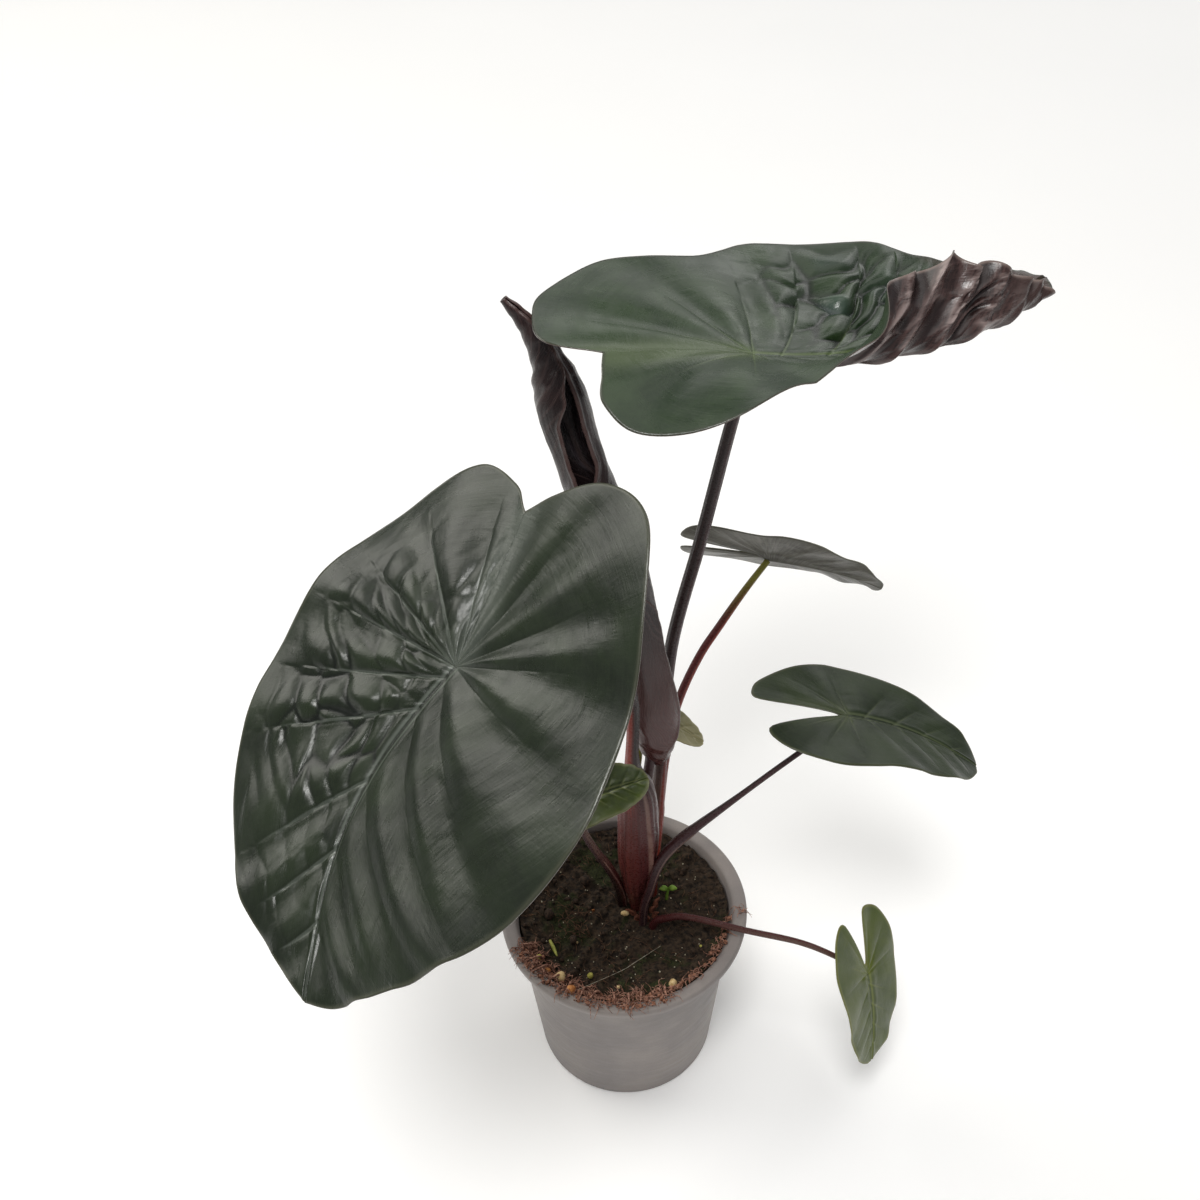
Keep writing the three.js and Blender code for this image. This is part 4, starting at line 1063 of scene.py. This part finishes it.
def pot_material():
    """Recycled grey plastic: faintly mottled, with scuffs and fine grain."""
    n = Nodes("pot_plastic")
    place = n.place()
    clouds = n.noise(place, 0.02, 5, 0.6)
    grain = n.noise(place, 1.4, 4, 0.7)
    scuffs = n.noise(n.place((0.06, 0.06, 0.5)), 1.0, 5, 0.75)
    base = n.mix(n.ramp(clouds, 0.3, 0.7), colour(126, 120, 118), colour(146, 138, 133))
    base = n.mix(n.ramp(scuffs, 0.55, 0.75, 0.0, 0.35), base, colour(160, 150, 142))
    base = n.mix(n.ramp(grain, 0.45, 0.75, 0.0, 0.25), base, colour(104, 101, 99))
    return n.finish(base, n.ramp(scuffs, 0.3, 0.7, 0.42, 0.6), 0.4, Normal=n.bump(grain, 0.06, 0.7))


def soil_material():
    """Dark potting soil with patches of moss."""
    n = Nodes("potting_soil")
    place = n.place()
    crumbs = n.noise(place, 0.45, 6, 0.7)
    moss = n.noise(place, 0.045, 4, 0.6, 0.5)
    fuzz = n.noise(place, 1.6, 4, 0.7)
    earth = n.mix(n.ramp(crumbs, 0.35, 0.65), colour(24, 20, 17), colour(68, 55, 43))
    green = n.mix(n.ramp(fuzz, 0.35, 0.7), colour(27, 30, 18), colour(62, 66, 36))
    base = n.mix(n.ramp(moss, 0.5, 0.62), earth, green)
    return n.finish(base, 0.92, 0.2, Normal=n.bump(n.plus(crumbs, n.times(fuzz, 0.5)), 0.9))


# Pot, soil and what lies on it


def inside_radius(height):
    return BASE_RADIUS + (WALL_TOP_RADIUS - BASE_RADIUS) * height / POT_HEIGHT - WALL


def turned_body(radius, height, sides, ends):
    """Points and faces of a closed body of rings; the ends are its heights on the axis."""
    x, y = turned(radius, full_turn(sides))
    rings = np.stack([x, y, height + 0 * x], -1)
    points = np.vstack([rings.reshape(-1, 3), *([0, 0, end] for end in ends)])
    return points, ring_faces(len(rings), sides)


def lathe(profile, sides):
    """Points and faces of a closed turned body; the profile starts and ends on the axis."""
    profile = np.array(profile, float)
    return turned_body(profile[1:-1, :1], profile[1:-1, 1:], sides, profile[[0, -1], 1])


def rounded(profile, radius, steps=3):
    """The profile with its corners rounded."""
    result = [profile[0]]
    for before, corner, after in zip(profile, profile[1:], profile[2:]):
        before, corner, after = (np.array(point, float) for point in (before, corner, after))
        cut = min(radius, np.linalg.norm(before - corner) / 2.2, np.linalg.norm(after - corner) / 2.2)
        start = corner + unit(before - corner) * cut
        end = corner + unit(after - corner) * cut
        for step in range(steps + 1):
            f = step / steps
            result.append(tuple(start * (1 - f) ** 2 + 2 * corner * f * (1 - f) + end * f * f))
    return result + [profile[-1]]


def pot_profile():
    """Half the pot's section, from the middle of its base round the rim to the middle of its floor."""
    lip = POT_HEIGHT - LIP_DROP
    return [
        (0, 0), (BASE_RADIUS - 1, 0), (BASE_RADIUS, 1.2),
        (WALL_TOP_RADIUS, POT_HEIGHT - 5), (WALL_TOP_RADIUS + 1.2, POT_HEIGHT - 2.2),
        (RIM_RADIUS - 2.4, POT_HEIGHT - 1.6), (RIM_RADIUS - 1.5, lip), (RIM_RADIUS - 0.3, lip),
        (RIM_RADIUS, POT_HEIGHT - 1.3), (RIM_RADIUS - 0.9, POT_HEIGHT),
        (RIM_RADIUS - 4.9, POT_HEIGHT), (WALL_TOP_RADIUS + 0.2, POT_HEIGHT - 1.2),
        (WALL_TOP_RADIUS - WALL, POT_HEIGHT - 4.6), (inside_radius(FLOOR), FLOOR), (0, FLOOR),
    ]


def drain_holes():
    """The bodies that are cut out of the pot's base, as one."""
    below, above = -4, 8
    holes = []
    for k in range(DRAIN_COUNT):
        points, faces = lathe([(0, below), (DRAIN_RADIUS, below), (DRAIN_RADIUS, above), (0, above)], 32)
        middle = turned(DRAIN_RING, (k + 0.5) / DRAIN_COUNT * 2 * np.pi)
        holes.append((points + [*middle, 0], faces))
    return merged(holes)


def add_pot(material):
    points, faces = lathe(rounded(pot_profile(), 0.9), 192)
    pot = add_piece("nursery_pot", points, faces, material, ["pot"])
    cutter = new_object("drain_cutter", new_mesh("drain_cutter", *drain_holes()))
    modifier = pot.modifiers.new("drain", "BOOLEAN")
    modifier.object = cutter
    modifier.solver = "EXACT"
    apply_modifiers(pot)
    bpy.data.objects.remove(cutter)


def apply_modifiers(piece):
    """Makes what the modifiers give the piece's own mesh."""
    graph = bpy.context.evaluated_depsgraph_get()
    made = bpy.data.meshes.new_from_object(piece.evaluated_get(graph))
    piece.modifiers.clear()
    piece.data = made


def merged(parts):
    """Points and faces of many small bodies as one."""
    points, faces, count = [], [], 0
    for part_points, part_faces in parts:
        points.append(part_points)
        faces += [tuple(int(i) + count for i in face) for face in part_faces]
        count += len(part_points)
    return np.vstack(points), faces


def soil_height(x, y):
    """The soil's height, as in the part's source."""
    lumps = 0.8 * np.sin(0.31 * x + 1.1) * np.cos(0.27 * y + 0.4)
    lumps = lumps + 0.5 * np.sin(0.62 * x - 0.48 * y + 2.1) + 0.35 * np.cos(0.9 * y + 0.7 * x)
    return SOIL_LEVEL + lumps + 1.6 * smooth(np.hypot(x, y), 30, 50)


def fine_soil_height(x, y):
    """The soil's height with crumbs."""
    crumbs = 0.55 * noise(x / 3.1, y / 3.1, 41) + 0.4 * noise(x / 1.5, y / 1.5, 42)
    return soil_height(x, y) + crumbs + 0.2 * noise(x / 0.7, y / 0.7, 43)


def add_soil(material):
    top = inside_radius(SOIL_LEVEL + 1) - CLEARANCE
    bottom = FLOOR + CLEARANCE
    foot = inside_radius(bottom) - CLEARANCE - 0.3
    radius = np.append(foot, top * np.linspace(1, 0.004, SOIL_RINGS))[:, None]
    height = fine_soil_height(*turned(radius, full_turn(SOIL_SECTORS)))
    height[0] = bottom
    points, faces = turned_body(radius, height, SOIL_SECTORS, (bottom, fine_soil_height(0.0, 0.0)))
    add_piece("potting_soil", points, faces, material, ["soil"])


def pebble(middle, size, seed, detail=2):
    """A lumpy grain."""
    form = bmesh.new()
    bmesh.ops.create_icosphere(form, subdivisions=detail, radius=1)
    points = np.array([vertex.co[:] for vertex in form.verts])
    faces = [tuple(vertex.index for vertex in face.verts) for face in form.faces]
    form.free()
    stretch = np.random.default_rng(seed).uniform(0.65, 1.15, 3)
    lumps = 1 + 0.22 * noise(points[:, 0] * 1.6 + seed, points[:, 1] * 1.6 + points[:, 2] * 1.3, 51)
    return points * lumps[:, None] * stretch * size + middle, faces


def perlite_places():
    """Middle and size of the grains of the part's source, which draws two more numbers for each."""
    random = seeded_random(7)
    places = []
    for k in range(PERLITE_COUNT):
        angle = 2 * math.pi * (k + 0.8 * next(random)) / PERLITE_COUNT
        x, y = turned(22 + 24 * next(random), angle)
        size = 1.5 + 1.3 * next(random)
        next(random)
        next(random)
        places.append(((x, y, float(soil_height(x, y)) + 0.35 * size), size))
    return places


def ground(x, y):
    """Height of the soil, and beyond it of the rim, which falls away outside."""
    reach = math.hypot(x, y)
    soil = float(fine_soil_height(x, y))
    rim = POT_HEIGHT + 0.2 - 1.2 * max(0, reach - 59)
    return soil + (rim - soil) * float(smooth(reach, 48, 54))


def grain(x, y, size, seed, rise=0.3, detail=1):
    """A grain on the ground; its middle lies a share of its size above it."""
    return pebble((x, y, ground(x, y) + rise * size), size, seed, detail)


def on_soil(rng, reach, least):
    """A random place on the soil; the least share keeps its middle free."""
    angle = rng.uniform(0, 2 * math.pi)
    return turned(reach * math.sqrt(rng.uniform(least, 1)), angle)


def at_rim(rng, low, high, near, far):
    """A random place in a stretch of the rim, from angle low to high in degrees."""
    angle = math.radians(rng.uniform(low, high))
    return turned(rng.uniform(near, far), angle)


def loose_fibre(rng, x, y, longest, radius):
    """A thin bent fibre that lies on the ground."""
    turn, length = rng.uniform(0, 2 * math.pi), rng.uniform(0.35, 1) * longest
    end_x, end_y = x + length * math.cos(turn), y + length * math.sin(turn)
    bow = rng.uniform(-0.3, 0.3) * length
    mid_x, mid_y = (x + end_x) / 2 - bow * math.sin(turn), (y + end_y) / 2 + bow * math.cos(turn)
    route = [
        (x, y, ground(x, y) + 0.1),
        (mid_x, mid_y, ground(mid_x, mid_y) + rng.uniform(0.4, 1.8)),
        (end_x, end_y, ground(end_x, end_y) + rng.uniform(0, 0.8)),
    ]
    return tube(route, [radius, 0.8 * radius, 0.4 * radius], 5, 6)


def pebbles(places, seed):
    """Grains that lie where the photograph shows them."""
    return [grain(x, y, size, seed + k, detail=2) for k, (x, y, size) in enumerate(places)]


def earth_crumbs():
    """Lumps of earth: those of the part's source, and many small ones."""
    parts = [pebble(middle, size, k) for k, (middle, size) in enumerate(perlite_places())]
    rng = np.random.default_rng(5)
    for k in range(CRUMB_COUNT):
        x, y = on_soil(rng, 50, 0.02)
        size = 0.4 + 1.1 * rng.uniform(0, 1) ** 3
        parts.append(grain(x, y, size, 100 + k, 0.2))
    return parts


def pale_specks():
    """Tiny pale grains strewn over the soil."""
    rng = np.random.default_rng(14)
    return [
        grain(*on_soil(rng, 46, 0.05), rng.uniform(0.22, 0.5), 900 + k, 0.9) for k in range(SPECK_COUNT)
    ]


def soil_fibres():
    """Dark fibres all over the soil, and a tuft of them."""
    rng = np.random.default_rng(9)
    parts = [loose_fibre(rng, *on_soil(rng, 47, 0.02), 7, 0.16) for _ in range(FIBRE_COUNT)]
    for _ in range(TUFT_COUNT):
        parts.append(loose_fibre(rng, rng.uniform(-31, -17), rng.uniform(-14, 4), 8, 0.18))
    return parts


def coir_crumbs():
    """Crumbs of coir among the fibres on the rim; one in five lies on its right."""
    rng = np.random.default_rng(12)
    front, right = (203, 292, 47, 57.5), (292, 350, 47, 53)
    parts = []
    for k in range(DUST_COUNT):
        x, y = at_rim(rng, *(front if k % 5 else right))
        parts.append(grain(x, y, 0.4 + 1.0 * rng.uniform(0, 1) ** 2, 700 + k))
    return parts


def grass_blade():
    route = [(x, y, ground(x, y) + 1.2 + 1.5 * k) for k, (x, y) in enumerate(GRASS)]
    return [tube(route, [0.7, 0.9, 0.3], 10, 16)]


def pale_thread():
    route = [(x, y, ground(x, y) + 1.4) for x, y in THREAD]
    return [tube(route, [0.12, 0.14, 0.14, 0.1], 6, 30)]


def withered_scales():
    """Withered scales that lean outwards round the foot of the stalks."""
    rng = np.random.default_rng(3)
    parts = []
    for k in range(SCALE_COUNT):
        out = np.array(turned(1, k * 2.4))
        foot = np.array([9, 1]) + (4.5 + 1.2 * (k % 3)) * out
        level, height = ground(*foot), rng.uniform(3, 7)
        bends = ((0, -1), (0.5, height / 2), (2.4, height))
        route = [(*(foot + lean * out), level + rise) for lean, rise in bends]
        parts.append(tube(route, [1.7, 1.2, 0.3], 10, 10))
    return parts


def source_fringe():
    """The coir fibres over the rim that the part's source has."""
    random = seeded_random(21)
    edge = inside_radius(SOIL_LEVEL) - CLEARANCE
    parts = []
    for k in range(FRINGE_COUNT):
        angle = math.radians(205 + 95 * (k + 0.5 * next(random)) / FRINGE_COUNT)
        reach = 54.5 + 3.5 * next(random)
        turn = math.radians(8 * (next(random) - 0.5))
        places = (
            (edge - 4, 0, SOIL_LEVEL - 1), (edge - 1.6, turn / 2, POT_HEIGHT - 0.6),
            (reach, turn, POT_HEIGHT + 1.6),
        )
        route = [(*turned(out, angle + more), height) for out, more, height in places]
        parts.append(tube(route, [1.0, 0.6, 0.25], 8, 12))
    return parts


def coir_fringe():
    """Coir fibres over the front left of the rim; one in six lies on its right, and a few far back."""
    parts = source_fringe()
    rng = np.random.default_rng(22)
    for k in range(COIR_COUNT):
        x, y = at_rim(rng, 202, 292, 46, 57) if k % 6 else at_rim(rng, 292, 352, 48, 53)
        parts.append(loose_fibre(rng, x, y, 7 if k % 6 else 5, rng.uniform(0.14, 0.3)))
    return parts + [loose_fibre(rng, *at_rim(rng, 350, 356, 55, 58), 7, 0.2) for _ in range(STRAY_COUNT)]


def add_seedling(material):
    x, y = SEEDLING_AT
    level, bend = float(soil_height(x, y)), x + 0.6
    foot, top = level - 4, level + 9
    parts = [tube([(x, y, foot), (x, y, (foot + top) / 2), (bend, y, top)], [0.8, 0.8, 0.7], 12, 12)]
    for side in (-1, 1):
        route = [
            (bend + side * 2.1 * k, y - 0.5 * k, top + rise) for k, rise in enumerate((0, 1.4, 1.5))
        ]
        parts.append(tube(route, [0.6, 1.5, 0.5], 16, 12))
    points, faces = merged(parts)
    add_piece("young_seedling", points, faces, material, ["seedling"])


# Stage


def add_camera():
    data = bpy.data.cameras.new("camera")
    data.lens = LENS
    data.sensor_width = SENSOR
    data.clip_start = 0.01
    camera = new_object("camera", data)
    tilt = Matrix.Rotation(math.radians(90 - CAMERA_DOWN), 4, "X")
    roll = Matrix.Rotation(math.radians(CAMERA_ROLL), 4, "Z")
    camera.matrix_world = Matrix.Translation(Vector(CAMERA_AT) * MM) @ tilt @ roll
    bpy.context.scene.camera = camera


def add_floor():
    n = Nodes("studio_floor")
    base = n.mix(n.noise(n.place(), 0.004, 3, 0.5), colour(250, 250, 250), colour(253, 253, 253))
    n.finish(base, 0.8, 0.1, Emission_Color=base, Emission_Strength=0.06)
    corners = np.array([(-1, -1, 0), (1, -1, 0), (1, 1, 0), (-1, 1, 0)]) * FLOOR_REACH
    mesh = new_mesh("floor", corners, [(0, 1, 2, 3)])
    mesh.materials.append(n.material)
    new_object("floor", mesh)


def add_light(name, place, target, size, radiance, tint):
    """A soft light with an even radiance: a disk, or a rectangle where the size has two sides.
    Its places and size are in metres."""
    data = bpy.data.lights.new(name, "AREA")
    if isinstance(size, tuple):
        data.shape = "RECTANGLE"
        data.size, data.size_y = size
        area = size[0] * size[1]
    else:
        data.shape = "DISK"
        data.size = size
        area = math.pi * size * size / 4
    data.energy = radiance * math.pi * area
    data.color = tint
    light = new_object(name, data)
    light.location = place
    light.rotation_euler = (Vector(target) - Vector(place)).to_track_quat("-Z", "Y").to_euler()


def add_studio():
    world = bpy.data.worlds.new("studio")
    bpy.context.scene.world = world
    world.use_nodes = True
    background = world.node_tree.nodes["Background"]
    background.inputs["Color"].default_value = (0.97, 0.98, 1.0, 1.0)
    background.inputs["Strength"].default_value = 0.25
    add_light("key", (-0.12, -0.55, 1.5), (0, 0.05, 0.1), 0.5, 19.7, (1.0, 0.99, 0.97))
    add_light("top", (0.9, 0.8, 4.2), (0.1, 0.3, 0.2), 3.6, 0.9, (1.0, 0.985, 0.95))
    add_light("left", (-2.11, 1.16, 2.44), (-0.09, -0.1, 0.3), 2.6, 3.1, (1.0, 0.975, 0.91))
    add_light("corner", (2.0, 2.2, 2.0), (0.9, 0.9, 0), 2, 1.2, (1.0, 0.99, 0.98))
    add_light("back", (0.2, 4.0, 2.3), (0, 0.3, 0.2), (5.5, 2.4), 0.7, (1.0, 0.99, 0.95))
    bpy.context.scene.view_settings.view_transform = "Standard"


def add_litter_pieces():
    """What lies on the soil: each piece's name and bodies, and how its material looks."""
    litter = (
        ("earth_crumbs", earth_crumbs(), "earth", (30, 23, 17), (66, 50, 38), 0.9, 0.9),
        ("soil_fibres", soil_fibres(), "litter", (44, 28, 20), (104, 76, 56), 0.5, 0.85),
        ("cream_pebbles", pebbles(CREAM_PEBBLES, 0), "cream", (176, 144, 92), (222, 198, 150)),
        ("yellow_pebbles", pebbles(YELLOW_PEBBLES, 20), "yellow", (142, 136, 58), (186, 180, 96)),
        ("orange_pebbles", pebbles(ORANGE_PEBBLES, 40), "orange", (156, 92, 44), (204, 142, 84)),
        ("pale_specks", pale_specks(), "specks", (150, 140, 116), (206, 198, 176), 0.9, 0.8),
        ("coir_fringe", coir_fringe(), "coir", (92, 57, 46), (184, 140, 120), 0.6, 0.85),
        ("coir_crumbs", coir_crumbs(), "coir_dust", (82, 52, 40), (162, 114, 90), 0.8, 0.9),
        ("grass_blade", grass_blade(), "grass", (112, 116, 44), (158, 160, 78), 0.4, 0.5),
        ("pale_thread", pale_thread(), "thread", (120, 112, 96), (176, 170, 154), 0.5, 0.6),
        ("withered_scales", withered_scales(), "scales", (70, 34, 26), (132, 82, 62)),
    )
    for name, bodies, *look in litter:
        points, faces = merged(bodies)
        add_piece(name, points, faces, plain_material(*look))


def build():
    for name in LEAVES:
        add_blade(name, leaf_material(**LEAF_LOOKS[name]))
    add_scroll(leaf_material(**LEAF_LOOKS["rolled"]))
    for name in STALKS:
        add_stalk(name, stalk_material(**STALK_LOOKS[name]))
    add_pot(pot_material())
    add_soil(soil_material())
    add_litter_pieces()
    add_seedling(plain_material("seedling", (96, 128, 44), (132, 164, 66), 0.4, 0.5))


add_camera()
add_floor()
add_studio()
build()
